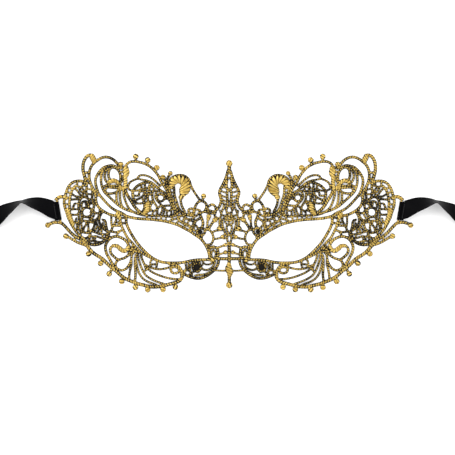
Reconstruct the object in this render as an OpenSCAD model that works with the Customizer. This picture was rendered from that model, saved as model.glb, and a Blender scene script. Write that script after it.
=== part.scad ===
// Venetian masquerade mask: a machine-embroidered gold and black lace half-mask lying flat on its
// back, with a black satin ribbon folded round a bar at each temple.
// Frame: millimetres. X to the viewer's right, Y toward the forehead, Z out of the front of the mask.
// The origin is under the middle of the lace, on the surface it lies on.
// The two halves of the lace mirror each other across X = 0. Every strand list is for the half X > 0.
// A strand is [width, [points its middle passes through]], drawn as a smooth cord with round ends.

/* [Lace] */
// thickness of the thick outline cords and rims
cord_t = 1.2; // [0.8:0.1:1.8]
// thickness of the fine openwork nets
net_t = 1.0; // [0.6:0.1:1.6]
// height of the raised satin-stitch lobes
satin_t = 1.6; // [1.2:0.1:2.4]
// every strand width is multiplied by this
strand_gain = 1.1; // [0.8:0.05:1.2]
// gaps narrower than twice this are sewn shut
gap_fill = 0.12; // [0.05:0.01:0.3]

/* [Beads] */
// radius of the picot beads along the edges
bead_r = 1.85; // [1.4:0.05:2.4]
// height of a bead
bead_h = 2; // [1.4:0.1:3]

/* [Temple bars] */
// diameter of the embroidered bar the ribbon turns on
bar_d = 1.4; // [1:0.1:2]
// height of the middle of the bar
bar_z = 1.35; // [1.2:0.05:2]

/* [Ribbons] */
// width of the satin ribbon
ribbon_w = 12; // [8:1:20]
// thickness of the ribbon, its selvedges included
ribbon_t = 0.35; // [0.2:0.05:0.8]
// play between the bar and the turn of the ribbon
turn_play = 0.1; // [0.05:0.05:0.4]
// how far the two layers of the turn run out from the bar
turn_run = 3.4; // [3:0.1:6]
// outside radius of the loose roll at the far end of each ribbon
roll_r = 28; // [24:1:34]
// inside radius of that roll
roll_hole_r = 15.2; // [12:0.2:20]

/* [Hidden] */
$fn = 20;
cap_step = 30;
step_len = 1.7;
eps = 0.3;
ring_fn = 96;

// hand-placed strands, one list per motif

// forehead finial: a pointed leaf with a slot and paired ribs
finial = [
  [2.2, [[0, 37.4], [0, 33]]],
  [1.7, [[0.9, 34], [1.7, 31], [2.6, 28.4], [3.7, 26], [4.7, 24], [5.8, 22], [6.4, 20], [6.1, 18],
    [5.5, 16], [5.4, 14], [5.9, 12], [6.8, 10.2], [8.2, 8.8]]],
  [1.5, [[-1.6, 29.2], [1.6, 29.2]]],
  [1.8, [[1.5, 29], [1.7, 26.5], [1.9, 24.5], [1.3, 22.4], [0, 21.4]]],
  [1.2, [[1.8, 23.8], [3.2, 23.2], [5, 23.4]]],
  [1.5, [[0.5, 21.6], [1.3, 20], [1.3, 17.5], [1.2, 15], [1.1, 12], [1.6, 10], [2, 8.6]]],
  [1.1, [[1.5, 19.8], [3.5, 20.2], [5.9, 21.2]]],
  [1.1, [[1.5, 17], [3.4, 17.2], [5.6, 18.4]]],
  [1.1, [[1.5, 14.4], [3.4, 14.6], [5.3, 16.3]]],
  [1.1, [[1.4, 12], [3.2, 12.6], [5.3, 13.8]]],
  [1.3, [[3.3, 12.8], [3.5, 10.6], [4.5, 8.2], [5.2, 6.4]]],
  [1.2, [[1.4, 9.4], [3.4, 9.8]]],
  [1, [[-0.9, 14.4], [0.9, 14.4]]],
  [1.2, [[-0.9, 11], [0.9, 11]]],
  [1.2, [[-1.6, 7], [0, 6.6], [1.6, 7]]],
  [1.2, [[2, 8.6], [1.6, 6.6], [1.3, 5], [2.1, 3.4], [1.3, 1.8], [0, 1.4]]],
  [2, [[0, 4.2], [0, 3]]],
  [1.2, [[1.4, 4.9], [3, 4.8], [4.6, 5.2]]],
  [1.3, [[5.8, 7.9], [5.3, 5.6], [5.7, 3.6], [6.4, 2]]],
  [1.2, [[2, 3.4], [3.4, 3.2], [4.4, 1.6], [4.5, -0.2]]],
];

// nose stem: teardrop ring, twin stems, side arms and the long pendant
stem = [
  [1.2, [[0, -0.8], [1.5, -2], [1.6, -3.8], [1, -5.8], [0, -7.2]]],
  [1.4, [[4.5, 0.6], [4.3, -2], [3.3, -4.6], [2.5, -6.8], [1.2, -8.2], [0, -7.4]]],
  [1.1, [[0, 1.8], [0, -0.6]]],
  [1.1, [[2.4, 2.6], [2.6, 0.6], [1.4, -0.9]]],
  [1.2, [[1, -8], [1.4, -10], [1, -12], [0.5, -13.6]]],
  [1.9, [[0, -13.4], [0, -26]]],
  [1.3, [[0.8, -13.8], [2.6, -14.2], [4.8, -15], [7.4, -16]]],
  [1.1, [[1, -19], [2.6, -19], [4.6, -19.8], [7, -20.5]]],
  [1.9, [[0.8, -23.2], [6.9, -23.2]]],
  [1.1, [[1.6, -30.9], [5, -31], [9.6, -30.7]]],
  [1.9, [[0, -33], [0, -39]]],
];
pendant = [[1, -25.5], [1.4, -27.4], [2.4, -30.6], [1.7, -32.8], [1, -34.6]];

// ribs between the stem and the inner rim of the eye
nose_ribs = [
  [1.6, [[7.6, 3.4], [9.4, 1.9], [11, 0], [12.3, -2], [13.6, -3.9], [15.2, -4.4]]],
  [1.3, [[5.7, 2.4], [6.4, 0.2], [6.2, -1.6], [7.4, -3.4]]],
  [1.3, [[4.4, -4.4], [7.5, -4.8], [9.4, -5.2], [11.2, -6.3]]],
  [1.4, [[13.8, -4.2], [12.4, -5], [11.3, -6.4], [10.6, -8], [10.3, -10], [10.8, -12], [12, -13.7],
    [15, -14.2]]],
  [1.2, [[2.6, -7], [3.6, -8.2], [4.8, -9.2], [6.6, -9.9], [10.4, -10.6]]],
  [1.2, [[1.4, -9.6], [4.2, -10]]],
];

// ring at the inner corner of the eye
corner_ring = [
  [1.8, [[14.4, -14.8], [12.2, -15.8], [9.8, -15.6], [7.8, -16.6], [7.3, -19], [7.4, -21.4],
    [8.4, -23], [10.4, -24], [12.6, -23.8]]],
  [1.5, [[12, -15.8], [12.9, -18], [12.7, -20], [12.3, -22], [12.8, -23.8]]],
  [1.2, [[10.2, -17.6], [9, -18.9], [8.8, -20.8], [9.7, -22.8], [11, -22.4], [11.6, -20.6],
    [11.3, -18.6], [10.2, -17.6]]],
];

// leaf under the inner corner of the eye, with its dark spiral knot
corner_leaf = [
  [1.7, [[6.8, -24], [7.2, -26.5], [8.2, -28.6], [9.8, -30.6], [12, -32.6], [14.5, -34.3],
    [17.5, -35.6], [20.5, -36], [23.5, -35.6], [26, -34.8], [28.5, -33.6], [30.6, -32.4]]],
  [1.3, [[9.2, -25.4], [10.5, -28.2], [12.5, -29.8], [14.9, -30.5], [17.1, -30], [18.3, -28.6],
    [18.9, -27], [19.4, -24.4]]],
  [1.1, [[10.4, -25.6], [12.6, -26.8], [15, -26.9], [16.7, -25.9], [17.4, -24.2]]],
  [1.1, [[16.7, -26], [17.9, -27.9]]],
  [1.3, [[9.4, -29.4], [12.5, -31.8], [15, -33], [18, -33.6], [20, -33.8], [22, -34.2]]],
  [1.3, [[19.2, -30.6], [20.4, -31.8], [22.4, -31.4], [24.2, -32.6], [24.2, -35]]],
  [1.6, [[18.6, -28.9], [19.2, -27], [21, -26.3], [22.9, -27], [23.6, -28.9], [22.8, -30.8],
    [21, -31.4], [19.3, -30.7], [18.6, -28.9]]],
  [1.3, [[20.6, -24.6], [23.4, -25.8], [25.2, -27.5], [25.6, -30], [25.2, -32.4], [26.6, -34.4]]],
  [1.1, [[26.4, -25], [26.5, -28], [26.8, -30.6], [25.4, -31.4]]],
  [1.2, [[28.4, -25.6], [28.2, -28.4], [28.4, -30.6], [29.4, -33]]],
  [1.1, [[26.6, -30.4], [28.8, -31.2]]],
];

// scrolls on the upper nose: lobe, ring loop, drop and small swirls
nose_scrolls = [
  [1.5, [[8.6, 8.4], [9, 10.4], [10, 11.7], [11.5, 12], [13, 11.2], [14.8, 10.2]]],
  [1.4, [[7.6, 8.9], [10, 7.6], [12, 8], [14, 7.8], [15.6, 7.4], [18.4, 6.9]]],
  [1.2, [[8.7, 6.9], [10.6, 6.2], [13, 6.5], [15.6, 7.2]]],
  [1.4, [[8.9, 7.4], [9.4, 5], [8.6, 3.6], [7.4, 2.8]]],
  [1.3, [[13.4, 7.6], [13.9, 9.4], [15, 10.2]]],
  [1.6, [[16.4, 7.2], [15.2, 9], [14.8, 11], [15.4, 13], [17.2, 14.2], [19, 14.3], [20.6, 13.2],
    [21.8, 11.4], [22.6, 9.2]]],
  [1.5, [[16.7, 16.8], [17.6, 14.6]]],
  [1.4, [[18.8, 14.6], [20, 16.2], [21.4, 18.2], [22.8, 20.3], [24, 22.5], [25.2, 25]]],
  [1.3, [[13.9, 1.8], [14.2, 0], [14.3, -2], [15, -3.8]]],
  [1.7, [[18.6, 6.8], [18.7, 5], [17.9, 3], [17.2, 1], [17.2, -1.2], [18, -3.2]]],
  [1.6, [[18.6, 3.4], [20.2, 2.4], [21.8, 1.2], [22.6, -0.6]]],
  [1.2, [[19.2, 8.4], [19.8, 6.6], [21, 4.9], [22.4, 4.7], [22.8, 6.3], [22.2, 8.2], [20.8, 8.8],
    [19.2, 8.4]]],
  [1.5, [[24.8, 6.3], [23.3, 7], [23.2, 8.8], [24.8, 9.4], [26.3, 8.6], [26.2, 7], [24.8, 6.3]]],
  [1.9, [[22.8, 5.2], [25, 5], [27.2, 5.4], [29.4, 6], [31.4, 7.4], [33, 9.4]]],
  [1.1, [[22.4, 4.2], [24.2, 2.8], [26.9, 2.7], [29, 4.4], [30.4, 5.4]]],
  [1.2, [[23.3, 3.6], [22.8, 1.8], [23.4, 0], [23, -2], [23.2, -4.4]]],
  [1.1, [[24.2, 1.4], [26.2, 1.3], [26.9, -0.3], [25.6, -1.9], [24, -1.7], [23.4, -0.2]]],
  [1.3, [[26.8, 2.6], [29, 2.6], [29.4, 0.4], [27.4, -0.6]]],
  [1.5, [[29.2, 4.6], [29.3, 2.8], [30.2, 1.2], [32.2, 1.4], [32.6, 3.4], [31.4, 4.8], [29.4, 4.6]]],
  [1.2, [[25.6, -1.8], [28.6, -1.2], [31.4, 0.8]]],
  [1.6, [[18.6, -3.3], [16.6, -3.8], [15.8, -5.6], [16.8, -7.4], [18.8, -8], [20.5, -7],
    [20.7, -4.8], [18.6, -3.3]]],
  [1.3, [[20.2, -3.6], [21.6, -1.6], [23, -2.2]]],
  [1.3, [[20.8, -5.4], [23, -4.7], [25, -5]]],
  [1.3, [[17.4, -7.6], [18, -10]]],
  [1.2, [[15.2, -4.2], [16.4, -4]]],
];

// curled plume above the bridge of the nose
plume = [
  [1.4, [[25, 24.4], [25.6, 27], [27, 29.3], [29.3, 30.8], [32, 31.3], [35, 30.7], [37.6, 29.1],
    [39.2, 26.8]]],
  [1.5, [[31.4, 18.6], [31.6, 15.4], [31.2, 12.6], [30.4, 10.2], [28.8, 7.4]]],
  [1.5, [[36.4, 26], [35.8, 22], [35.7, 19], [35.1, 16.4], [34.3, 14], [33.5, 11.4], [32.4, 8.6]]],
  [1.5, [[39.2, 27], [38.9, 23], [38.3, 19], [37.1, 15.8], [36.2, 12.8], [35.2, 10], [33.4, 8]]],
  [1.1, [[36.2, 24.4], [39, 25]]],
  [1.1, [[35.8, 22], [37.4, 22.6], [38.9, 22]]],
  [1.1, [[35.7, 19.6], [38.6, 20.2]]],
  [1.1, [[35.3, 17.2], [37.8, 17.8]]],
  [1.1, [[34.4, 14.2], [36.8, 15.2]]],
  [1.1, [[33.7, 12], [36, 12.4]]],
  [1.3, [[35.4, 10.4], [35, 7.4], [33.6, 6.2], [31.6, 7.4]]],
  [1.5, [[39.2, 30.9], [40.3, 28.6], [40.7, 26], [40.2, 23.4], [38.8, 21.2]]],
];
plume_satin = [[25.6, 24.4], [26, 27.4], [28, 29.7], [32, 30.8], [35.6, 30.2], [38.2, 28.2],
  [38.8, 25.6], [35.8, 22.6], [34.6, 24.4], [33, 25.2], [32, 24.4], [32.6, 22], [32, 19.6],
  [30.6, 18.2], [28.6, 18.4], [26.6, 20], [25.4, 22]];

// brow arch with its beads
brow_arch = [
  [1.6, [[38, 14.6], [39.4, 18.4], [41, 21.9], [43, 25], [44.6, 27.6], [46, 30.6], [48.3, 33.7],
    [51, 36.4], [54.3, 38.3], [57.4, 39.4], [61, 40], [64.3, 39.8], [66.6, 38.2], [67.4, 36]]],
  [1.4, [[60.8, 42.2], [60.8, 40.2]]],
  [1.4, [[53, 40], [53.6, 38]]],
  [1.4, [[47.5, 35], [48.6, 33.8]]],
  [1.2, [[42.2, 28.8], [41.9, 26.6], [42.6, 25]]],
  [1.2, [[44.1, 28.8], [44.4, 27.2]]],
];

// two fine arches under the brow arch
brow_veil = [
  [1.3, [[44.8, 24.4], [46.3, 25.6], [48.2, 27.5], [50.8, 29.5], [53.6, 30.8], [56.5, 31.2],
    [58.7, 30.6], [59.8, 28.9], [62, 28], [64.3, 26.6], [65.6, 24.4], [65.6, 22.4], [63.4, 21]]],
  [1.2, [[46.6, 22.8], [48.8, 25.2], [51.4, 26.9], [54.2, 27.8], [57, 28.3], [60, 28.8]]],
  [1.2, [[43.4, 25.4], [45, 24.2], [46.8, 23]]],
  [1.2, [[65.6, 24.6], [67.4, 24]]],
];

// teardrop net filling the brow
brow_net = [
  [1.5, [[47, 23.4], [44.5, 21.2], [42, 19.6], [40.3, 17], [38.8, 14.5], [37.3, 12], [36, 9.5],
    [35.6, 6.5], [36.8, 4.6]]],
  [1.7, [[47, 23.2], [48.6, 24.6], [50.5, 25.8], [52.5, 26.5], [54.6, 26.4], [57, 25.6],
    [59.3, 24.4], [61.3, 22.6], [62.6, 20.5], [62.8, 18], [62, 15.4], [60.4, 12.9]]],
  [1.5, [[44.6, 18.8], [42.7, 18], [42.2, 16.2], [43.2, 14.6], [45, 14.2], [46.6, 15.2],
    [46.9, 17.2], [45.8, 18.5], [44.6, 18.8]]],
  [1.3, [[44.8, 20.6], [46.6, 20.7], [47.7, 19.2], [48, 17], [47, 14.8], [45.4, 13], [43.6, 11.4]]],
  [1.2, [[42.3, 17.4], [41.2, 18.8]]],
  [1.2, [[42.4, 15.6], [40, 15.8]]],
  [1.3, [[46.6, 20.8], [48.8, 21.4], [49, 23.6]]],
  [1.4, [[48.8, 21.4], [50, 19.6], [50, 17.5], [49.7, 15.3], [48.8, 13.4], [47.4, 11.2]]],
  [1.5, [[51.4, 25.4], [52.3, 23], [51.7, 20.8], [52.6, 18.6], [53, 16.5], [52.8, 14.4], [52.8, 12.4]]],
  [1.4, [[54.9, 26], [54.8, 23.4], [54.6, 21], [55.4, 19], [56.6, 17.2], [58.4, 16], [60.4, 15.2],
    [61.8, 15.6]]],
  [1.3, [[57.4, 25.2], [57, 22.6], [57.5, 20.8], [58.6, 19.6], [58.8, 18], [61, 17.8], [62.6, 18]]],
  [1.2, [[49.4, 23.6], [52.2, 23], [54.8, 22.2], [57, 22.2], [59.5, 21.2], [62.2, 21]]],
  [1.2, [[49.2, 20.8], [51.6, 20.7], [54.8, 20.6], [57.5, 20.7]]],
  [1.2, [[50.2, 18.2], [52.5, 18.8], [55.3, 19]]],
  [1.3, [[49.6, 14.4], [52.6, 13.7], [55.4, 13.3], [58, 12.7], [60.6, 13]]],
  [1.2, [[54.2, 18.6], [54.7, 16], [55.5, 13.5]]],
  [1.2, [[56.6, 17], [56.2, 15.2], [55.6, 13.6]]],
  [1.3, [[55.4, 13.2], [55.3, 10.4], [56.2, 7.8], [57.6, 6.6]]],
  [1.4, [[36.6, 11.6], [39.6, 11.4], [42.6, 11.2], [44.8, 10.9], [46.2, 9.8], [46.8, 7.8], [46.6, 5.2]]],
  [1.2, [[43.2, 11], [43.5, 9.2], [44, 7.4], [45.2, 5]]],
  [1.3, [[47.4, 11.2], [47, 9.4], [48.6, 8], [50.5, 8.4], [51.4, 10], [50.8, 12], [49.8, 13.8]]],
  [1.2, [[47, 7], [47.3, 5.2]]],
  [1.2, [[48.6, 7.9], [49.7, 6.6], [49.8, 5]]],
  [1.2, [[50.2, 8.2], [51.6, 7.9], [53.4, 6.8], [53.6, 5.2]]],
  [1.2, [[37.4, 11.4], [37.8, 9], [39.2, 8], [40.7, 8.4], [41.9, 9.6], [42.4, 11]]],
  [1.2, [[36, 9], [37.8, 8.8]]],
  [1.2, [[38, 8.6], [37.6, 6.6], [38.4, 4.6]]],
  [1.2, [[40.2, 8.2], [40.6, 6.2], [40.2, 4.6]]],
  [1.2, [[41.9, 9.4], [42.4, 7], [43.2, 4.8]]],
  [1.4, [[33.6, 6], [35, 5], [37.6, 4.3], [41, 4.4], [45, 4.7], [49, 4.8], [53, 5], [57, 5.4],
    [61, 6.4]]],
];
brow_net_satin = [[3, [[53.2, 12.2], [53.5, 10.4], [53.6, 8.4], [55, 6.4]]]];

// strands sweeping down from the knot at the top of the brow
sweeps = [
  [1.9, [[67.6, 22], [66.9, 19.6], [65.4, 16.8], [63.6, 14], [61.8, 11], [59.6, 8.6], [57, 6.4],
    [55.2, 5.4]]],
  [1.4, [[70.6, 22.2], [68.9, 21], [68.6, 18], [67.8, 15], [66.6, 12], [65.2, 9.6], [63, 7.7],
    [60.6, 6.6]]],
  [1.4, [[70.6, 22.4], [71.1, 20], [71.1, 17], [70.7, 14], [70, 11.6], [68.6, 9.7], [66.4, 8.5]]],
  [1.4, [[71.4, 22.2], [72.8, 20.4], [73.3, 18.8], [73.4, 17], [73.2, 14.4], [72.2, 12.2]]],
];

// knot and rose curl at the end of the brow
rose = [
  [1.6, [[70.9, 26.6], [70.7, 29.6], [71.4, 33], [73.4, 35.5], [76, 36.2], [77.8, 34.8],
    [78.5, 32], [78.2, 29.4], [77, 27.6]]],
  [1.6, [[70.4, 35.6], [72.8, 36.2], [76, 37.4], [79, 37.1], [81.6, 36.1], [84, 33.9], [86, 31],
    [87, 28], [86.8, 25], [86, 22], [85, 19.4], [83.3, 17], [81.1, 14.5], [78.6, 11.8],
    [75.8, 9.4], [73, 7.9], [70.4, 6.8], [67.4, 5]]],
  [1.4, [[78.2, 35.6], [80.2, 33.8], [81, 31], [80.8, 28.8], [79.8, 26.8], [78.2, 26]]],
  [1.5, [[80.4, 36], [82.3, 33.6], [83.2, 30.6], [83.4, 27.6], [83, 24.6], [82.2, 22], [80.8, 19.7],
    [78.5, 17.4], [75.7, 14.8], [72.9, 12.3], [70, 10.2], [66.4, 8.5], [62.4, 7.2], [59, 6.2]]],
  [1.2, [[81, 35.2], [83.6, 34]]],
  [1.2, [[82.8, 31.8], [85.4, 31.6]]],
  [1.4, [[70.6, 25], [73.4, 24.4], [76.2, 24.2], [79, 24.8], [82.2, 23.4]]],
  [1.4, [[71.6, 23.4], [73.4, 22.9], [76.4, 23], [79, 23.2], [80.6, 21.6], [80.2, 19.8]]],
  [1.5, [[71.6, 23.4], [72.4, 21], [74, 19.9], [76.4, 19.3], [78.4, 19.2], [80.4, 19.8]]],
  [1.2, [[69, 29.2], [69.8, 27.4], [71.4, 25]]],
  [1.3, [[69.2, 33.4], [71.2, 33.2]]],
  [1.3, [[69, 30.4], [70.8, 30.6]]],
  [1.3, [[67.4, 36.4], [69.4, 36.2], [71.4, 36.2]]],
  [1.4, [[70.5, 37.6], [70.8, 36]]],
];
rose_satin = [
  [2.4, [[67.7, 30.4], [67.5, 26.6], [68.2, 22.8], [70.8, 23.6]]],
  [4, [[66.8, 31.9], [67.4, 34.7]]],
  [2.6, [[72.4, 26.4], [75, 27.6], [77.8, 26.8]]],
];

// outer scroll running from the rose curl over the temple and down to the shell
temple_scroll = [
  [1.7, [[71.2, 36.4], [73, 39], [75.4, 41.3], [78.3, 42.7], [81.2, 42.9], [84, 41.9], [87, 39.8],
    [89.5, 37.2], [90.8, 34], [91.1, 31], [90.8, 28], [90, 25.4], [88.8, 22.8], [87.4, 20],
    [86.8, 17], [86.7, 14.6], [86, 12.2], [84.7, 10.1], [82.4, 8.1], [79.8, 6.6], [77, 5.4],
    [74, 4.8], [71, 4.4]]],
  [1.2, [[84.2, 18], [86.8, 17.6]]],
  [1.2, [[85.8, 21.2], [88, 21]]],
];

// tall loop at the top of the temple
temple_loop = [
  [2, [[88.6, 43], [90.4, 44.2], [92.7, 43.2], [94.5, 40.2], [95.1, 37], [95, 34], [94.3, 31],
    [93.6, 28.6], [93, 26.2]]],
  [1.5, [[91, 33], [94.6, 32.6]]],
  [1.4, [[91, 29], [93.8, 28.4]]],
  [1.3, [[90.6, 26.2], [93.2, 25.8]]],
];
temple_loop_satin = [[3.4, [[88, 41], [89.2, 43]]]];

// double rim of the temple shell
shell_rim = [
  [1.7, [[92.8, 25.6], [95, 27], [97.6, 27.4], [100.3, 27.1], [102.6, 25.9], [104.4, 23.8],
    [105.6, 21.4], [106.3, 19], [107, 16.4], [107.4, 13.6], [107.1, 11.2], [106.4, 8.8],
    [105.6, 6.4], [104.8, 3.8], [103.6, 1.2], [102.3, -1.4], [100.8, -3.8], [99, -6.2],
    [97, -8.2], [94.8, -10], [93, -11.4]]],
  [1.6, [[99.4, 24.4], [101.6, 22.3], [102.8, 19.6], [103.5, 16.7], [103.9, 13.5], [103.8, 10.2],
    [103.6, 7.2]]],
  [1.2, [[101.6, 22.4], [104.8, 23]]],
  [1.2, [[102.9, 19.4], [105.9, 20.4]]],
  [1.2, [[103.6, 16], [106.8, 17.4]]],
  [1.2, [[103.8, 12.4], [107.2, 12]]],
  [1.2, [[98.8, 24.8], [99, 27]]],
];
shell_rim_satin = [[2.6, [[105, 8.4], [103.9, 5], [102.9, 2], [101.5, -1]]]];

// upper net of the temple shell
shell_net_upper = [
  [1.5, [[93, 26], [92.7, 23.6], [93, 21], [92.9, 18.8], [92.2, 16.4]]],
  [1.5, [[89.8, 24.6], [89.1, 21.8], [89, 18.8], [89.2, 15.8], [88.4, 13.4], [88, 11], [88.6, 8.8],
    [90, 7]]],
  [1.1, [[89.2, 21.8], [91, 22], [92.8, 22.6]]],
  [1.2, [[89, 18.7], [91, 18.8], [92.9, 19.2]]],
  [1.2, [[89.1, 15.4], [91, 15.6], [92.6, 16.4]]],
  [1.2, [[86.8, 15], [88.9, 15.2]]],
  [1.2, [[86.4, 12.2], [88.2, 12]]],
  [1.6, [[90.4, 12.4], [91, 14.8], [92.5, 16.4], [94.3, 17], [96, 16.4], [97.2, 14.8], [97.8, 12.5],
    [97.9, 10], [97.2, 7.6]]],
  [1.4, [[91.4, 10.2], [91.8, 13], [93.5, 14.2], [95.3, 13.6], [96.1, 11.8], [95.8, 10],
    [94.6, 9.4]]],
  [1.3, [[88.2, 13.2], [90.4, 12.6], [91.6, 12]]],
  [1.3, [[93.6, 14.2], [93.2, 12.2], [92.8, 10.2]]],
  [1.2, [[93, 24.4], [94.8, 24.2], [96.6, 23.6], [98.6, 23.9], [100.4, 24]]],
  [1.2, [[95.3, 24.1], [95, 26.6]]],
  [1.3, [[93, 21.2], [94.6, 20.8], [95.8, 20.2], [97, 21.4], [97.7, 23.6]]],
  [1.3, [[93, 19.2], [94.4, 19.6], [95.6, 18.2], [97, 18.6], [98.2, 20.2], [99.8, 22], [101.4, 22.6]]],
  [1.2, [[94.4, 21], [95.6, 22.6], [97.4, 23.4]]],
  [1.3, [[94.6, 17], [95.6, 18.2]]],
  [1.3, [[96.4, 16.4], [98, 17.2], [99.8, 17.4], [101.6, 18.4], [103, 18.8]]],
  [1.3, [[97.2, 15], [98.8, 15.5], [100.8, 15.4], [103.6, 15.2]]],
  [1.2, [[99, 15.6], [98.9, 17.2]]],
  [1.4, [[100.3, 12.8], [101, 11.6], [101.5, 10.2], [101.6, 8.9]]],
  [1.2, [[97.8, 8.8], [99.8, 9], [101.6, 8.9], [103.8, 9]]],
  [1.2, [[97.8, 12.4], [98.9, 12.6]]],
];

// lower net of the temple shell, round its big eyelet
shell_net_lower = [
  [1.6, [[92.6, 10.2], [90.4, 9.4], [89.5, 7.2], [90.3, 4.9], [92.6, 4], [94.9, 4.8], [95.7, 7],
    [94.8, 9.3], [92.6, 10.2]]],
  [1.3, [[97.3, 8.2], [98, 6.6], [97.8, 3.6], [98, 1], [99.4, 0.3], [101.8, 0.6]]],
  [1.3, [[98, 5.7], [100.2, 5.4], [103.4, 5.6]]],
  [1.2, [[99.6, 3.1], [99.8, 1.6], [100.6, 0.6]]],
  [1.2, [[95.6, 8.4], [96.3, 6.2], [96, 3.8], [96.6, 1.8], [98, 0.8]]],
  [1.3, [[90.4, 4.8], [90.8, 3], [90.6, 1.2], [92.6, 1.4], [95, 1.5], [96.8, 1.5]]],
  [1.2, [[94.6, 4.4], [95.6, 2.8], [96.6, 2]]],
  [1.3, [[91.2, 1.2], [91.7, -0.8], [91.5, -2.8], [91.8, -4.8], [92.2, -6.4]]],
  [1.3, [[93.3, 1.2], [93, -0.6], [94.2, -2.6], [94.8, -4.4], [95, -6]]],
  [1.2, [[95.2, 1.4], [96.4, -0.4], [95.9, -2], [96.1, -4], [96.3, -5.6]]],
  [1.4, [[98, 0.8], [97.8, -1.5], [98.1, -3.5], [97, -5.2]]],
  [1.2, [[99.2, 0.2], [98.9, -2.4], [99.1, -4.2], [100, -5]]],
  [1.5, [[90, -4.8], [92, -6.3], [94.6, -6], [97.2, -5.2]]],
  [1.3, [[90.4, -6.4], [91, -8.2], [92.9, -9.7], [95, -9.8]]],
  [1.2, [[96.2, -5.8], [96.8, -8]]],
  [1.4, [[89.5, 2.4], [87.9, 1.6], [87.6, 0], [87.9, -2], [88.8, -4], [90.2, -5.2], [90.3, -7.8],
    [91, -10.2], [92, -12.4]]],
  [1.5, [[87.8, 0.2], [89.6, 0.6], [91.2, 0.8]]],
  [1.4, [[84.4, 6.3], [87, 6.6], [89.6, 7.2]]],
  [1.3, [[88.6, 9], [87.6, 7]]],
  [1.3, [[84.3, 8.6], [84.4, 6.2], [85.2, 4], [86.4, 2.4], [87.8, 1.8]]],
  [1.2, [[87.4, 6.4], [88.2, 4.4], [89.8, 2.8]]],
  [1.5, [[82, 7.8], [83.4, 5.8], [84.3, 3.6], [84.6, 1.4], [84, -0.8], [82.8, -2.6], [81.2, -4.2],
    [79.4, -5.2]]],
  [1.6, [[82.2, 2], [81, 1.6], [80.3, 0], [80.1, -2], [79.6, -4], [79.1, -6.2]]],
  [1.3, [[82.3, 0], [82.1, -1.4], [81, -3.2]]],
  [1.3, [[86.2, 2.4], [86.4, 0.2], [85.6, -1.8], [84.2, -3.4], [83, -5.4], [84, -7]]],
  [1.9, [[78.8, -5.8], [79.6, -8.4], [80.9, -10.8], [82.8, -12.7], [85.2, -13.8], [87.7, -14.1],
    [90.2, -13.7], [92.6, -12.6]]],
  [1.3, [[79.6, -7.2], [82.4, -7.3], [84.8, -7], [86.6, -6.2], [88.6, -5.6], [90.2, -5.4]]],
  [1.3, [[80.8, -10], [83.6, -9.6], [86.6, -8.6], [88.4, -8.8], [90.5, -8.4]]],
  [1.2, [[84.4, -3.4], [85.2, -5.4], [84.8, -7]]],
  [1.2, [[82.4, -7.4], [82.3, -9.8]]],
  [1.2, [[86.8, -8.6], [87.2, -10.2], [87.3, -12], [87.4, -13.8]]],
  [1.2, [[82.8, -12.2], [85, -12.2], [87.3, -11.8], [89.3, -11.6], [91.6, -12]]],
  [1.2, [[88.6, -8.8], [88.8, -11.4]]],
  [1.3, [[85.8, -2.2], [87, -4.4], [88.4, -5.6]]],
  [1.2, [[86, -0.8], [87.8, -0.8]]],
];

// arm that carries the lower end of the temple bar, its bead and the edge strand below it
temple_arm = [
  [1.9, [[91.4, -14.4], [93.8, -12.6], [96.6, -10.6], [99.6, -9], [102.3, -6.9], [104.7, -4.4],
    [106.7, -2.2], [109, -0.2], [111.6, 0.4], [114.6, 0.2], [117.4, -1]]],
  [1.6, [[93.6, -14.4], [96.2, -13.6], [99, -12.4], [101.8, -10.8], [104, -9.4], [105.2, -8.8]]],
  [1.3, [[96.4, -10.8], [96.8, -13.2]]],
  [1.3, [[100, -9], [100.6, -11.6]]],
  [1.3, [[97.4, -7.9], [98.4, -9.6]]],
];

// hook that carries the upper end of the temple bar
temple_hook = [
  [2.1, [[106.2, 16.2], [108.3, 17.1], [110.4, 16.9], [112.3, 15.5]]],
];

// cord round the top of the eye opening
rim_upper = [
  [1.7, [[12.8, -23.4], [12.9, -21.4], [13.3, -19.4], [14.2, -16.6], [15.8, -13.7], [17.8, -11],
    [20, -9.1], [23, -7.1], [26, -5.1], [28.6, -3.7], [31.4, -2.2], [34, -1], [37, 0], [41, 1],
    [45, 1.7], [50, 2.3], [55, 2.6], [60, 3], [64.4, 3.8], [68, 5], [71.4, 6.6]]],
  [1.2, [[22.8, -4.4], [25.6, -2.6], [28.6, -1], [31.6, 0.8], [33.2, 3], [33.8, 5.8]]],
  [1.1, [[25, -3], [26.2, -5]]],
  [1.1, [[28.8, -1], [29.4, -3.2]]],
  [1.2, [[32.4, 1.8], [34, 0.2], [34.2, -0.8]]],
  [1.2, [[33, 3], [35.2, 2.6], [37.6, 1.9], [39.6, 1]]],
  [1.2, [[36.8, 4.4], [37.4, 2]]],
  [1.1, [[41, 4.2], [41.4, 1.2]]],
  [1.1, [[44.2, 4.5], [44.4, 1.6]]],
  [1.1, [[47.4, 4.7], [47.4, 2]]],
  [1.1, [[50.4, 4.8], [50.4, 2.3]]],
  [1.1, [[53.6, 5], [53.4, 2.5]]],
];

// cord round the bottom of the eye opening
rim_lower = [
  [1.7, [[12.4, -23.7], [16, -23.8], [20, -23.9], [24, -24.3], [28, -25.2], [32, -25.8],
    [36, -25.9], [40, -25.8], [43.4, -25.4], [46.8, -24.3], [50, -22.6], [53, -20.2], [55.8, -17.5],
    [58.6, -14.5], [60.9, -11.5], [62.8, -8.5], [64.7, -5.2], [66.2, -2], [67, 1], [66.8, 4.4]]],
  [1.5, [[49.4, -23], [52.4, -21.9], [55.4, -20.3], [58.2, -18.2], [60.8, -15.6], [63.4, -12.6],
    [65.8, -10], [67.6, -7], [68.8, -4.4], [69.9, -2], [70.6, 0.6], [71.2, 4.2]]],
];

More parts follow.
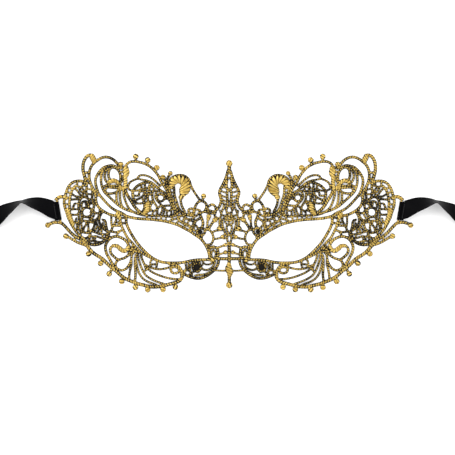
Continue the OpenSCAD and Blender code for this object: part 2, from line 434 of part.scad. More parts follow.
// small knots between the eye rim and the temple shell
temple_knots = [
  [1.4, [[69.8, -1.8], [72.6, -1.7], [75.4, -2], [76.3, -3.8], [77.2, -5.4], [79.4, -5.3]]],
  [1.4, [[69, -4.4], [71.2, -5.2], [73.6, -5.9], [77.4, -5.4]]],
  [1.3, [[71, -5.2], [72.6, -7], [73.4, -8.8]]],
  [1.3, [[76.8, 5.2], [76.7, 2.6], [76.7, 0], [76.2, -2.6]]],
  [1.3, [[73.8, 4.6], [73.6, 2], [74.4, 0], [75.4, -1.8]]],
  [1.2, [[70.8, 1.6], [72.2, 0.4], [74, 0.8]]],
  [1.2, [[66.9, 2.6], [68.8, 3.4], [71, 2.6]]],
  [1.3, [[67.2, -0.4], [68.6, 0], [70.4, -0.4]]],
  [1.2, [[71.6, 0.8], [71.8, -1.6]]],
  [1.4, [[78, -5.6], [78.4, -8], [80.2, -9.6]]],
  [1.5, [[76.4, -9.4], [78.2, -9.2], [80, -9.4]]],
];
temple_knots_satin = [[2.8, [[71.4, 3.6], [72.8, 5.6]]]];

// ring with an S-curl on the cheek, and the loop under it
cheek_curl = [
  [1.7, [[65, -16.4], [65.6, -14], [66.8, -12], [68.8, -10.3], [71.6, -9], [74.6, -8.8],
    [77.2, -9.9], [79.2, -12], [80.4, -14.6], [80.5, -17], [79.7, -20], [78.3, -22.5], [77, -24.8],
    [75.8, -27], [74.8, -29.4]]],
  [1.6, [[75.6, -14.8], [77, -16], [77.4, -17.8], [76.8, -19.8], [75.4, -21.4], [73.6, -22.9],
    [72, -23.8]]],
  [1.5, [[64.2, -19.6], [66.2, -21.4], [68.4, -22.8], [71, -23.6], [73, -24.8], [73.9, -26.8],
    [73.6, -28.6], [72.2, -30], [69.8, -30.7], [67.6, -30], [65.8, -28.2], [64.5, -26], [63.8, -23.8]]],
  [1.3, [[78.4, -11.2], [80, -10.2]]],
  [1.3, [[73.6, -28.4], [75.6, -29.2]]],
  [1.3, [[64.4, -11.8], [66.8, -12]]],
];
cheek_curl_satin = [[2.6, [[65.6, -15.2], [66.6, -17.2], [68.8, -17.9], [71, -16.6], [73, -15],
  [75.2, -14.7]]]];

// knot the feather rays fan out from
ray_knot = [
  [1.8, [[59.6, -16.4], [61.6, -16.2], [63.6, -17.4], [65, -19.4]]],
  [1.5, [[58.6, -19], [60.4, -18.5], [62.6, -18.8], [64.8, -20.4]]],
  [1.3, [[62.4, -13.8], [63.2, -15.6], [65.6, -15.8]]],
  [1.4, [[57.6, -18.8], [59.4, -19.6], [60.8, -21.2], [61.2, -23.8]]],
  [1.4, [[61.2, -16.4], [61.9, -18.6], [63.4, -20.6]]],
  [1.3, [[56.8, -19.6], [57.4, -21.4]]],
];

// feather rays down to the lower edge
rays = [
  [1.4, [[57.3, -20.6], [57, -22.4], [56, -25], [55, -27.3], [54.2, -29.6]]],
  [1.3, [[59.4, -20], [59.1, -23], [58.2, -26], [57.2, -28.8], [56, -31.5], [54.4, -33.8],
    [52, -35.6], [49, -37.2], [45.4, -38.6], [42, -39.7]]],
  [1.3, [[61, -23], [60.3, -26.5], [59.5, -29.8], [58.4, -33], [56.2, -36], [53.2, -38], [49.6, -39.4],
    [47, -40.4]]],
  [1.5, [[61.2, -23.4], [61.2, -27.5], [61.1, -31], [61, -34.5], [61.4, -38]]],
  [1.4, [[63.3, -20.4], [63.7, -23.4], [63.6, -26.4], [64.3, -30], [64.9, -33], [65.2, -36.6]]],
  [1.3, [[37, -28.2], [41, -29.4], [44.5, -30], [47.8, -29.8], [50.6, -29], [53, -28], [55, -27]]],
  [1.3, [[32.4, -36.6], [35, -36.4], [38, -36.1], [42, -35.2], [46, -33.8], [49, -32.5],
    [51.5, -31], [53, -29.2], [53, -28]]],
  [1.3, [[52, -28.4], [53.8, -30.2], [55.8, -31.8]]],
  [1.2, [[47.2, -24.6], [46.9, -27], [47.8, -29.6]]],
  [1.2, [[47, -26.8], [49.4, -26.8], [51, -27.4], [50.8, -29]]],
  [1.2, [[49.6, -23], [51.2, -25], [51.4, -27.6]]],
];

// spiral at the start of the lower edge
edge_spiral = [
  [1.7, [[36.6, -26.4], [33.8, -27.6], [31.9, -29.4], [31, -31.6], [30.9, -34]]],
  [1.5, [[34.9, -28.5], [37, -28.9], [38, -30.5], [37, -32.2], [34.8, -32.6], [33, -31.8],
    [32.8, -29.8], [34.9, -28.5]]],
  [1.2, [[28.6, -31], [31, -31.2]]],
  [1.2, [[36.6, -26.8], [38.2, -27.2], [39.6, -26]]],
];

// thick cord along the lower edge with its beads
lower_edge = [
  [2.1, [[30.9, -33], [30.8, -35.2], [32.2, -37.4], [34.9, -38.7], [38, -39.5], [41.8, -40.5],
    [45.2, -41.2], [49, -41.5], [52.4, -41.1], [55.8, -40.3], [59, -39.5], [62.4, -38.3],
    [65.7, -37], [68.6, -35.4], [71.2, -33.4], [73.6, -31.2], [76, -29.3], [78.4, -27.3],
    [80.8, -24.8], [83.4, -22.6], [86.2, -20.9], [88.8, -19], [90.9, -16.8], [92.6, -14.8],
    [94.6, -13]]],
  [1.5, [[35, -40.4], [35, -38.8]]],
  [1.5, [[43, -42], [43, -40.8]]],
  [1.5, [[53, -42], [52.8, -41]]],
  [1.5, [[61, -40.4], [61, -38.8]]],
  [1.5, [[69.4, -37], [68.6, -35.4]]],
  [1.5, [[77.6, -32.2], [76.2, -29.8]]],
  [1.5, [[83.2, -25.2], [82.4, -23.6]]],
  [1.5, [[90.8, -19.4], [89.6, -18.2]]],
];

// middles of the domed beads
finial_beads = [[0, 38.8, 1.15]];
stem_beads = [[0, -40.3, 1.15], [2.5, -14.2, 0.7], [2.5, -19, 0.75]];
rib_beads = [[6, -3.8, 0.85], [4.3, -9, 0.75], [9.3, 2, 0.9]];
corner_beads = [[11, -24, 0.9]];
leaf_beads = [[21, -28.8, 1]];
scroll_beads = [[16.6, 17.6, 0.9], [13.3, 4.4, 0.85], [13.6, 2.8, 0.7], [18.6, -5.7, 1]];
plume_beads = [[31.3, 16.9, 0.95], [38.3, 32.4, 0.8]];
arch_beads = [[60.8, 43.3, 1], [53, 41, 1], [47.1, 36, 1], [43.1, 29.7, 0.95]];
rose_beads = [[70.5, 38.3, 0.9]];
arm_beads = [[118, -1.4, 0.95], [106.2, -8.5, 1]];
edge_beads = [[35, -41.6, 1], [43, -43.2, 1], [53, -43.3, 1], [61, -41.8, 1], [69.9, -37.9, 1],
  [78.1, -33, 1], [83.7, -26.2, 1], [91.5, -20, 1]];

// temple bar: its two ends, on the middle line
bar_low = [109.6, 0.3];
bar_high = [112.1, 15.2];
post_r = 0.8;
post_h = bar_z + bar_d / 2 - eps + 0.1;
bar_vec = bar_high - bar_low;
bar_len = norm(bar_vec);
bar_turn = atan2(bar_vec[1], bar_vec[0]);
bar_mid = (bar_low + bar_high) / 2;

// ribbon: the turn round the bar, then the free strip
turn_mid_r = bar_d / 2 + turn_play + ribbon_t / 2;
turn_end_z = 0.75;
turn_shift = 0.3;
tack_from_bar = 2.3;
// stations of the strip: [x, y, z, heading, twist about the middle line]
strip_route = [
  [113.3, 8.2, 1, -9, 0],
  [115.9, 9.3, 2.5, 12, -20],
  [118.3, 10.5, 3.5, 20, -31],
  [121.4, 11.8, 4, 18, -38],
  [124.9, 12.8, 4.8, 13, -47],
  [129, 13.6, 5.6, 8, -61],
  [132, 14, 6.1, 3, -73],
  [134.5, 13.9, 6.3, -12, -81],
  [137.1, 12.8, 6.1, -25, -73],
  [140.8, 10.8, 5.6, -30, -60],
  [144.8, 8.6, 4.7, -33, -46],
  [148.4, 6, 3.6, -34, -33],
  [152, 3.4, 2.1, -36, -17],
  [155, 1, 0.7, -41, 0],
  [157.3, -1.8, 3.6, -54, 34],
  [158.5, -5.2, 5.7, -72, 63],
  [158.7, -9.6, 6.2, -89, 90],
];
roll_mid = [186.5, -10];

// a point on the smooth curve between b and c, with neighbours a and d
function between(a, b, c, d, t) = 0.5 * (2 * b + (c - a) * t + (2 * a - 5 * b + 4 * c - d) * t * t
  + (3 * b - a - 3 * c + d) * t * t * t);
function at(p, i) = p[max(0, min(len(p) - 1, i))];
function spans(p, i) = max(1, ceil(norm(p[i + 1] - p[i]) / step_len));
function curve(p) = concat(
  [for (i = [0:len(p) - 2]) for (k = [0:spans(p, i) - 1])
    between(at(p, i - 1), p[i], p[i + 1], at(p, i + 2), k / spans(p, i))],
  [p[len(p) - 1]]);
function along(c, i) = (at(c, i + 1) - at(c, i - 1)) / norm(at(c, i + 1) - at(c, i - 1));
function beside(c, h) = [for (i = [0:len(c) - 1]) c[i] + h * [-along(c, i)[1], along(c, i)[0]]];

// half a disc on the line from a to b, on its right
module end_cap(a, b) {
  mid = (a + b) / 2;
  arm = a - mid;
  polygon(concat([a], [for (t = [cap_step:cap_step:180 - cap_step])
    mid + cos(t) * arm + sin(t) * [-arm[1], arm[0]]], [b]));
}

// a line w wide along the smooth curve through p, with round ends
module line(w, p) {
  c = curve(p);
  left = beside(c, w / 2);
  right = beside(c, -w / 2);
  for (i = [0:len(c) - 2])
    polygon([left[i], left[i + 1], right[i + 1], right[i]]);
  end_cap(left[0], right[0]);
  end_cap(right[len(c) - 1], left[len(c) - 1]);
}

module strand(w, p) {
  line(w * strand_gain, p);
}

// shapes sewn together, the hairline gaps between them closed
module sewn() {
  offset(delta = -gap_fill)
    offset(delta = gap_fill)
      children();
}

module strands(list) {
  sewn()
    for (s = list)
      strand(s[0], s[1]);
}

module net(list, t) {
  linear_extrude(height = t)
    strands(list);
}

// satin stitch standing above the net it starts in
module raised(list) {
  translate([0, 0, eps])
    linear_extrude(height = satin_t - eps)
      strands(list);
}

// domed beads: [x, y, part of the bead radius]
module beads(list) {
  for (b = list)
    translate([b[0], b[1], 0])
      rotate_extrude($fn = 24)
        bead_section(bead_r * b[2]);
}

module bead_section(r) {
  polygon([[0, 0.05], [r - 0.35, 0.05], [r, 0.5], [r, 1.05], [r - 0.35, bead_h * 0.8],
    [r * 0.45, bead_h * 0.96], [0, bead_h]]);
}

module both_halves() {
  children();
  mirror([1, 0, 0])
    children();
}

module side(left) {
  mirror([left ? 1 : 0, 0, 0])
    children();
}

module forehead_finial() {
  color("goldenrod") {
    linear_extrude(height = cord_t)
      sewn()
        both_halves()
          for (s = finial)
            strand(s[0], s[1]);
    beads(finial_beads);
  }
}

module nose_stem() {
  color("goldenrod") {
    linear_extrude(height = cord_t)
      sewn()
        both_halves() {
          for (s = stem)
            strand(s[0], s[1]);
          polygon(concat([[0, -25.5]], pendant, [[0, -34.6]]));
        }
    both_halves()
      beads(stem_beads);
  }
}

module nose_rib_set(left) {
  color("goldenrod")
    side(left) {
      net(nose_ribs, cord_t);
      beads(rib_beads);
    }
}

module eye_corner_ring(left) {
  color("goldenrod")
    side(left) {
      net(corner_ring, cord_t);
      beads(corner_beads);
    }
}

module eye_corner_leaf(left) {
  color("darkgoldenrod")
    side(left) {
      net(corner_leaf, cord_t);
      beads(leaf_beads);
    }
}

module nose_scroll_set(left) {
  color("goldenrod")
    side(left) {
      net(nose_scrolls, cord_t);
      beads(scroll_beads);
    }
}

module brow_plume(left) {
  color("gold")
    side(left) {
      net(plume, cord_t);
      translate([0, 0, eps])
        linear_extrude(height = satin_t - eps)
          polygon(plume_satin);
      beads(plume_beads);
    }
}

module brow_arch_cord(left) {
  color("goldenrod")
    side(left) {
      net(brow_arch, cord_t);
      beads(arch_beads);
    }
}

module brow_veil_arches(left) {
  color("goldenrod")
    side(left)
      net(brow_veil, net_t);
}

module brow_net_panel(left) {
  color("darkgoldenrod")
    side(left) {
      net(brow_net, net_t);
      raised(brow_net_satin);
    }
}

module brow_sweeps(left) {
  color("goldenrod")
    side(left)
      net(sweeps, cord_t);
}

module rose_curl(left) {
  color("goldenrod")
    side(left) {
      net(rose, cord_t);
      raised(rose_satin);
      beads(rose_beads);
    }
}

module temple_scroll_cord(left) {
  color("goldenrod")
    side(left)
      net(temple_scroll, cord_t);
}

module temple_top_loop(left) {
  color("gold")
    side(left) {
      net(temple_loop, cord_t);
      raised(temple_loop_satin);
    }
}

module shell_double_rim(left) {
  color("gold")
    side(left) {
      net(shell_rim, cord_t);
      raised(shell_rim_satin);
    }
}

module shell_upper_net(left) {
  color("darkgoldenrod")
    side(left)
      net(shell_net_upper, net_t);
}

module shell_lower_net(left) {
  color("darkgoldenrod")
    side(left)
      net(shell_net_lower, net_t);
}

module ribbon_arm(left) {
  color("goldenrod")
    side(left) {
      net(temple_arm, cord_t);
      translate([bar_low[0], bar_low[1], eps])
        cylinder(r = post_r, h = post_h);
      beads(arm_beads);
    }
}

module ribbon_hook(left) {
  color("goldenrod")
    side(left) {
      net(temple_hook, cord_t);
      translate([bar_high[0], bar_high[1], eps])
        cylinder(r = post_r, h = post_h);
    }
}

module ribbon_bar(left) {
  color("dimgray")
    side(left)
      translate([bar_low[0], bar_low[1], bar_z])
        rotate([0, 90, bar_turn])
          cylinder(d = bar_d, h = bar_len);
}

module eye_rim_upper(left) {
  color("gold")
    side(left)
      net(rim_upper, cord_t);
}

module eye_rim_lower(left) {
  color("gold")
    side(left)
      net(rim_lower, cord_t);
}

module temple_knot_net(left) {
  color("darkgoldenrod")
    side(left) {
      net(temple_knots, net_t);
      raised(temple_knots_satin);
    }
}

module cheek_s_curl(left) {
  color("gold")
    side(left) {
      net(cheek_curl, cord_t);
      raised(cheek_curl_satin);
    }
}

module feather_rays(left) {
  color("goldenrod")
    side(left)
      net(concat(ray_knot, rays), cord_t);
}

module lower_edge_cord(left) {
  color("gold")
    side(left) {
      net(concat(lower_edge, edge_spiral), cord_t);
      beads(edge_beads);
    }
}

// section of the turn: out of the tack, round the bar and back into the tack
module turn_section() {
  tail = turn_end_z - bar_z - ribbon_t * 0.45;
  top = turn_end_z - bar_z + ribbon_t * 0.45;
  wrap = [for (a = [270:-30:90]) turn_mid_r * [cos(a), sin(a)]];
  sewn()
    line(ribbon_t, concat([[turn_run, tail]], wrap, [[turn_run, top]]));
}

// the ribbon's turn round the bar with its tail laid under the strip
module ribbon_turn(left) {
  color([0.08, 0.08, 0.08])
    side(left)
      translate([bar_mid[0], bar_mid[1], bar_z])
        rotate([0, 0, bar_turn - 90])
          translate([0, ribbon_w / 2 + turn_shift, 0])
            rotate([90, 0, 0])
              linear_extrude(height = ribbon_w)
                turn_section();
}

// row of stitches that holds the tail
module ribbon_tack(left) {
  color([0.16, 0.16, 0.16])
    side(left)
      translate([bar_mid[0], bar_mid[1], turn_end_z])
        rotate([0, 0, bar_turn - 90])
          translate([tack_from_bar, turn_shift, 0])
            cube([0.6, ribbon_w - 3, ribbon_t * 3.6], center = true);
}

// a corner of the strip: u across it and v through it, at a station of the route
function corner(s, u, v) = let (c = cos(s[4]), k = sin(s[4]))
  [s[0] - sin(s[3]) * (u * c - v * k), s[1] + cos(s[3]) * (u * c - v * k), s[2] + u * k + v * c];
function station(s) = let (u = ribbon_w / 2, v = ribbon_t / 2)
  [corner(s, -u, -v), corner(s, u, -v), corner(s, u, v), corner(s, -u, v)];

// the skin from the station whose corners start at a to the next, both broad faces split the same way
function skin(a) = [[a, a + 1, a + 5], [a, a + 5, a + 4], [a + 1, a + 2, a + 6], [a + 1, a + 6, a + 5],
  [a + 2, a + 3, a + 6], [a + 3, a + 7, a + 6], [a + 3, a, a + 4], [a + 3, a + 4, a + 7]];

module ribbon_strip(left) {
  last = len(strip_route) - 1;
  color([0.08, 0.08, 0.08])
    side(left)
      polyhedron(
        points = [for (s = strip_route) each station(s)],
        faces = concat(
          [[3, 2, 1, 0]],
          [for (i = [0:last - 1]) each skin(i * 4)],
          [[last * 4, last * 4 + 1, last * 4 + 2, last * 4 + 3]]));
}

// room taken by the loosely rolled far end of the ribbon, standing on its edge
module ribbon_roll(left) {
  color([0.12, 0.12, 0.12])
    side(left)
      translate([roll_mid[0], roll_mid[1], 0.2])
        rotate_extrude($fn = ring_fn)
          translate([roll_hole_r, 0])
            square([roll_r - roll_hole_r, ribbon_w]);
}

forehead_finial();
nose_stem();
nose_rib_set(true);  // nose_ribs_left
nose_rib_set(false);  // nose_ribs_right
eye_corner_ring(true);  // eye_corner_ring_left
eye_corner_ring(false);  // eye_corner_ring_right
eye_corner_leaf(true);  // eye_corner_leaf_left
eye_corner_leaf(false);  // eye_corner_leaf_right
nose_scroll_set(true);  // nose_scrolls_left
nose_scroll_set(false);  // nose_scrolls_right
brow_plume(true);  // brow_plume_left
brow_plume(false);  // brow_plume_right
brow_arch_cord(true);  // brow_arch_left
brow_arch_cord(false);  // brow_arch_right
brow_veil_arches(true);  // brow_veil_left
brow_veil_arches(false);  // brow_veil_right
brow_net_panel(true);  // brow_net_left
brow_net_panel(false);  // brow_net_right
brow_sweeps(true);  // brow_sweeps_left
brow_sweeps(false);  // brow_sweeps_right
rose_curl(true);  // rose_curl_left
rose_curl(false);  // rose_curl_right
temple_scroll_cord(true);  // temple_scroll_left
temple_scroll_cord(false);  // temple_scroll_right
temple_top_loop(true);  // temple_loop_left
temple_top_loop(false);  // temple_loop_right
shell_double_rim(true);  // shell_rim_left
shell_double_rim(false);  // shell_rim_right
shell_upper_net(true);  // shell_net_upper_left
shell_upper_net(false);  // shell_net_upper_right
shell_lower_net(true);  // shell_net_lower_left
shell_lower_net(false);  // shell_net_lower_right
ribbon_arm(true);  // ribbon_arm_left
ribbon_arm(false);  // ribbon_arm_right
ribbon_hook(true);  // ribbon_hook_left
ribbon_hook(false);  // ribbon_hook_right
ribbon_bar(true);  // ribbon_bar_left
ribbon_bar(false);  // ribbon_bar_right
eye_rim_upper(true);  // eye_rim_upper_left
eye_rim_upper(false);  // eye_rim_upper_right
eye_rim_lower(true);  // eye_rim_lower_left
eye_rim_lower(false);  // eye_rim_lower_right
temple_knot_net(true);  // temple_knots_left
temple_knot_net(false);  // temple_knots_right
cheek_s_curl(true);  // cheek_curl_left
cheek_s_curl(false);  // cheek_curl_right
feather_rays(true);  // feather_rays_left
feather_rays(false);  // feather_rays_right
lower_edge_cord(true);  // lower_edge_left
lower_edge_cord(false);  // lower_edge_right
ribbon_turn(true);  // ribbon_turn_left
ribbon_turn(false);  // ribbon_turn_right
ribbon_tack(true);  // ribbon_tack_left
ribbon_tack(false);  // ribbon_tack_right
ribbon_strip(true);  // ribbon_strip_left
ribbon_strip(false);  // ribbon_strip_right
ribbon_roll(true);  // ribbon_roll_left
ribbon_roll(false);  // ribbon_roll_right
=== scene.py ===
"""Looks of the venetian masquerade mask: gold over black embroidered lace and two black satin ribbons."""

import math

import bpy
import numpy as np
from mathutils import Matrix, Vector


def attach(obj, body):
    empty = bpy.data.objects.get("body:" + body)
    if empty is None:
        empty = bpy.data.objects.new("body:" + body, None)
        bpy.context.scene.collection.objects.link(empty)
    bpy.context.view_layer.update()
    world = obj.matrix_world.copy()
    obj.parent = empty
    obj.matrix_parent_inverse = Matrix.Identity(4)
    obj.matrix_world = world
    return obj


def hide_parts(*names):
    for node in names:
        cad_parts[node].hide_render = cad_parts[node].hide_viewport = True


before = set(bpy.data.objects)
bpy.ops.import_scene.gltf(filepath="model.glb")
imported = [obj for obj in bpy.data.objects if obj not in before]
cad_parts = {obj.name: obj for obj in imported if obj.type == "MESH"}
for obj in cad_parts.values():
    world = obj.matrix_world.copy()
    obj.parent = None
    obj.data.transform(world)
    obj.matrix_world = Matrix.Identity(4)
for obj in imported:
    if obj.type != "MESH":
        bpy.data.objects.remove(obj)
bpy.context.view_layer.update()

# Lengths are in millimetres up to the meshes, which are in metres.
MM = 0.001
STITCH = 1.65          # one group of gold wraps and the black gap after it
RINGS_PER_STITCH = 4
SLANT = 0.42           # how far a wrap leans along the strand, per unit across it
CORD_H = 1.2
NET_H = 1.0
SATIN_H = 1.6
WIDTH_GAIN = 1.18      # the stitched strands are this much wider than their lists
SATIN_INK = 0.3        # share of black thread showing
BEAD_INK = 0.35
BEAD_R = 1.85
BEAD_H = 2.0
PHASE_STEP = 40.0      # stitches between the phases of seeds 0 and 1
LEFT_SEEDS = 300       # the left half counts its strands from here

VIEW_MIDDLE = (-1.1, -2.9)
VIEW_WIDTH = 295.75
LENS = 180.0

# ---------------- camera

def make_camera():
    data = bpy.data.cameras.new("camera")
    data.lens = LENS
    data.sensor_width = 36.0
    away = VIEW_WIDTH / 2 / math.tan(math.atan(data.sensor_width / 2 / LENS))
    data.clip_start, data.clip_end = 0.05, 20.0
    camera = bpy.data.objects.new("camera", data)
    camera.location = Vector((*VIEW_MIDDLE, away + CORD_H)) * MM
    bpy.context.scene.collection.objects.link(camera)
    bpy.context.scene.camera = camera


make_camera()

# ---------------- shared geometry

def between(a, b, c, d, t):
    """A point on the smooth curve from b to c, with neighbours a and d."""
    return 0.5 * (2 * b + (c - a) * t + (2 * a - 5 * b + 4 * c - d) * t * t
                  + (3 * b - a - 3 * c + d) * t ** 3)


def smooth_curve(points, per_span=12):
    """The smooth curve through the points, any number of values in each."""
    p = np.array(points, float)
    last = len(p) - 1
    steps = np.arange(per_span)[:, None] / per_span
    spans = [between(p[max(i - 1, 0)], p[i], p[i + 1], p[min(i + 2, last)], steps) for i in range(last)]
    return np.vstack(spans + [p[-1:]])


def lengths_along(line):
    return np.concatenate([[0.0], np.cumsum(np.linalg.norm(np.diff(line, axis=0), axis=1))])


def sampled(line, at, wanted):
    """The rows of line at the wanted lengths, where at holds the length of each row."""
    return np.stack([np.interp(wanted, at, line[:, k]) for k in range(line.shape[1])], axis=1)


def tangents(line):
    t = np.gradient(line, axis=0)
    return t / np.maximum(np.linalg.norm(t, axis=1), 1e-9)[:, None]


class Patchwork:
    """Gathers many closed shells into one mesh, with three numbers kept at each point for the material."""

    def __init__(self):
        self.points, self.faces, self.notes, self.count = [], [], [], 0

    def add(self, points, faces, notes):
        self.points.append(np.asarray(points, float))
        self.faces += [[self.count + i for i in f] for f in faces]
        self.notes.append(np.asarray(notes, float))
        self.count += len(points)

    def piece(self, name, mirrored, material):
        points, notes = np.vstack(self.points) * MM, np.vstack(self.notes)
        faces = self.faces
        if mirrored:
            points = points * (-1, 1, 1)
            faces = [f[::-1] for f in faces]
        mesh = bpy.data.meshes.new(name)
        mesh.from_pydata(points.tolist(), [], faces)
        mesh.polygons.foreach_set("use_smooth", [True] * len(mesh.polygons))
        kept = mesh.attributes.new("thread", "FLOAT_VECTOR", "POINT")
        kept.data.foreach_set("vector", notes.astype(np.float32).ravel())
        mesh.materials.append(material)
        mesh.update()
        piece = bpy.data.objects.new(name, mesh)
        bpy.context.scene.collection.objects.link(piece)
        return piece


def tube_faces(rings, around):
    """Quads between successive rings of a closed section, and the two end caps."""
    faces = []
    for i in range(rings - 1):
        a, b = i * around, (i + 1) * around
        faces += [[a + k, a + (k + 1) % around, b + (k + 1) % around, b + k] for k in range(around)]
    return faces + [list(range(around))[::-1], [(rings - 1) * around + k for k in range(around)]]

# ---------------- ribbons

RIBBON_W = 12.0
RIBBON_T = 0.35
BAR_LOW = np.array((109.6, 0.3))
BAR_HIGH = np.array((112.1, 15.2))
BAR_LENGTH = np.linalg.norm(BAR_HIGH - BAR_LOW)
ALONG_BAR = (BAR_HIGH - BAR_LOW) / BAR_LENGTH
OUTWARD = np.array((ALONG_BAR[1], -ALONG_BAR[0]))
BAR_D = 1.4
BAR_Z = 1.35
TURN_PLAY = 0.1
TURN_RUN = 3.4
TURN_END_Z = 0.75
TURN_SHIFT = 0.3
TURN_MIDDLE = (BAR_LOW + BAR_HIGH) / 2 + TURN_SHIFT * ALONG_BAR
TACK_FROM_BAR = 2.3
TACK_REACH = 4.2       # from the middle of the row of stitches to its last one
TACK_PITCH = 1.05
TACK_HALF = 0.34       # half the length of one stitch
THREAD_R = 0.13
# stations of the strip: x, y, z, heading, twist about the middle line
STRIP_ROUTE = [
    (113.3, 8.2, 1, -9, 0),
    (115.9, 9.3, 2.5, 12, -20),
    (118.3, 10.5, 3.5, 20, -31),
    (121.4, 11.8, 4, 18, -38),
    (124.9, 12.8, 4.8, 13, -47),
    (129, 13.6, 5.6, 8, -61),
    (132, 14, 6.1, 3, -73),
    (134.5, 13.9, 6.3, -12, -81),
    (137.1, 12.8, 6.1, -25, -73),
    (140.8, 10.8, 5.6, -30, -60),
    (144.8, 8.6, 4.7, -33, -46),
    (148.4, 6, 3.6, -34, -33),
    (152, 3.4, 2.1, -36, -17),
    (155, 1, 0.7, -41, 0),
    (157.3, -1.8, 3.6, -54, 34),
    (158.5, -5.2, 5.7, -72, 63),
    (158.7, -9.6, 6.2, -89, 90),
]
ROLL_MID = (186.5, -10.0)
ROLL_END_R = 15.5
ROLL_PITCH = 4.8
RIBBON_STEP = 0.8
FINE_END = 12.0        # the turn and the first of the strip have closer rings, up to here
FINE_RINGS = 41
RIBBON_CUT = 5.0       # how far the far end is cut at a slant


def side_name(mirrored):
    return "left" if mirrored else "right"


def turn_frames():
    """Middle line, across and through directions from the tail's end round the bar to the strip."""
    radius = BAR_D / 2 + TURN_PLAY + RIBBON_T / 2
    tail = TURN_END_Z - BAR_Z - RIBBON_T * 0.45
    top = TURN_END_Z - BAR_Z + RIBBON_T * 0.45
    wrap = [(radius * math.cos(a), radius * math.sin(a)) for a in np.radians(np.arange(270, 89, -20))]
    line = smooth_curve([(TURN_RUN, tail), (1.6, tail - 0.08)] + wrap + [(1.4, top + 0.16)], 3)
    ahead = tangents(line)
    centre = np.column_stack([TURN_MIDDLE + line[:, :1] * OUTWARD, BAR_Z + line[:, 1]])
    across = np.tile(np.append(ALONG_BAR, 0.0), (len(line), 1))
    through = np.column_stack([-ahead[:, 1:] * OUTWARD, ahead[:, 0]])
    return centre, across, through


def strip_frames():
    """The same along the free strip and into the loose roll at its far end."""
    start = np.array(STRIP_ROUTE[-1])
    start_r = math.dist(start[:2], ROLL_MID)
    start_a = math.atan2(start[1] - ROLL_MID[1], start[0] - ROLL_MID[0])
    turned = np.arange(0.0, (start_r - ROLL_END_R) / ROLL_PITCH * 2 * math.pi, 0.04)[1:]
    r, a = start_r - ROLL_PITCH * turned / (2 * math.pi), start_a + turned
    roll = np.column_stack([ROLL_MID[0] + r * np.cos(a), ROLL_MID[1] + r * np.sin(a),
                            np.full(len(r), start[2]), start[3] + np.degrees(turned),
                            np.full(len(r), start[4])])
    rows = np.vstack([smooth_curve(STRIP_ROUTE, 16), roll])
    heading, twist = np.radians(rows[:, 3]), np.radians(rows[:, 4])
    c, k = np.cos(twist), np.sin(twist)
    across = np.column_stack([-np.sin(heading) * c, np.cos(heading) * c, k])
    through = np.column_stack([np.sin(heading) * k, -np.cos(heading) * k, c])
    return rows[:, :3], across, through


def ribbon_section():
    """Shares of half width and half thickness round the ribbon's section, thicker at the selvedges."""
    upper = [(-1.0, 0.35), (-0.985, 1.0), (-0.955, 1.0), (-0.935, 0.55), (-0.6, 0.6), (-0.2, 0.62),
             (0.2, 0.62), (0.6, 0.6), (0.935, 0.55), (0.955, 1.0), (0.985, 1.0), (1.0, 0.35)]
    return np.array(upper + [(u, -v) for u, v in upper[::-1]])


def make_ribbon(mirrored, material):
    parts = [np.vstack(p) for p in zip(turn_frames(), strip_frames())]
    centre = parts[0]
    at = lengths_along(centre)
    rings = int(at[-1] / RIBBON_STEP)
    section = ribbon_section()
    around = len(section)
    u, v = section[:, 0], section[:, 1]
    wanted = np.linspace(0, at[-1], rings + 1)[:, None] * (1 - RIBBON_CUT / at[-1] * (1 + u) / 2)
    fine = np.linspace(0, FINE_END, FINE_RINGS)[:, None] * np.ones(around)
    wanted = np.vstack([fine, wanted[wanted[:, 0] > FINE_END + 0.2]])
    middle, sideways, up = [np.stack([np.interp(wanted, at, part[:, k]) for k in range(3)], axis=-1)
                            for part in parts]
    points = (middle + sideways * (u * RIBBON_W / 2)[None, :, None]
              + up * (v * RIBBON_T / 2)[None, :, None]).reshape(-1, 3)
    notes = np.stack([wanted, np.tile(u, (len(wanted), 1)), np.tile(v, (len(wanted), 1))], axis=-1)
    cloth = Patchwork()
    cloth.add(points, tube_faces(len(wanted), around), notes.reshape(-1, 3))
    side = side_name(mirrored)
    ribbon = cloth.piece("ribbon_" + side, mirrored, material)
    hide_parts("ribbon_turn_" + side, "ribbon_strip_" + side, "ribbon_roll_" + side)
    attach(ribbon, "ribbon_" + side)
    flip = np.array((-1 if mirrored else 1, 1, 1)) * MM
    path = sampled(centre, at, np.linspace(0, at[-1], rings + 1)) * flip
    return ribbon, path, at[-1] * MM


def make_tack(mirrored, material):
    """The row of stitches through both layers beside the bar."""
    first = TURN_MIDDLE + TACK_FROM_BAR * OUTWARD
    threads = Patchwork()
    angles = np.radians(np.arange(0, 360, 45))
    for place in np.arange(-TACK_REACH, TACK_REACH + 0.1, TACK_PITCH):
        ends = [first + (place + step) * ALONG_BAR for step in (-TACK_HALF, TACK_HALF)]
        arch = smooth_curve([(*ends[0], TURN_END_Z - 0.52), (*ends[0], TURN_END_Z + 0.42),
                             (*(ends[0] + ends[1]) / 2, TURN_END_Z + 0.62),
                             (*ends[1], TURN_END_Z + 0.42), (*ends[1], TURN_END_Z - 0.52)], 4)
        aside = np.append(OUTWARD, 0)
        rings = np.array([p + THREAD_R * (np.outer(np.cos(angles), aside)
                                          + np.outer(np.sin(angles), np.cross(t, aside)))
                          for p, t in zip(arch, tangents(arch))])
        notes = np.zeros((rings.shape[0] * rings.shape[1], 3))
        notes[:, 0] = np.repeat(lengths_along(arch), len(angles))
        threads.add(rings.reshape(-1, 3), tube_faces(len(arch), len(angles)), notes)
    side = side_name(mirrored)
    tack = threads.piece("tack_" + side, mirrored, material)
    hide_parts("ribbon_tack_" + side)
    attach(tack, "ribbon_" + side)
    return tack

# ---------------- lace strands

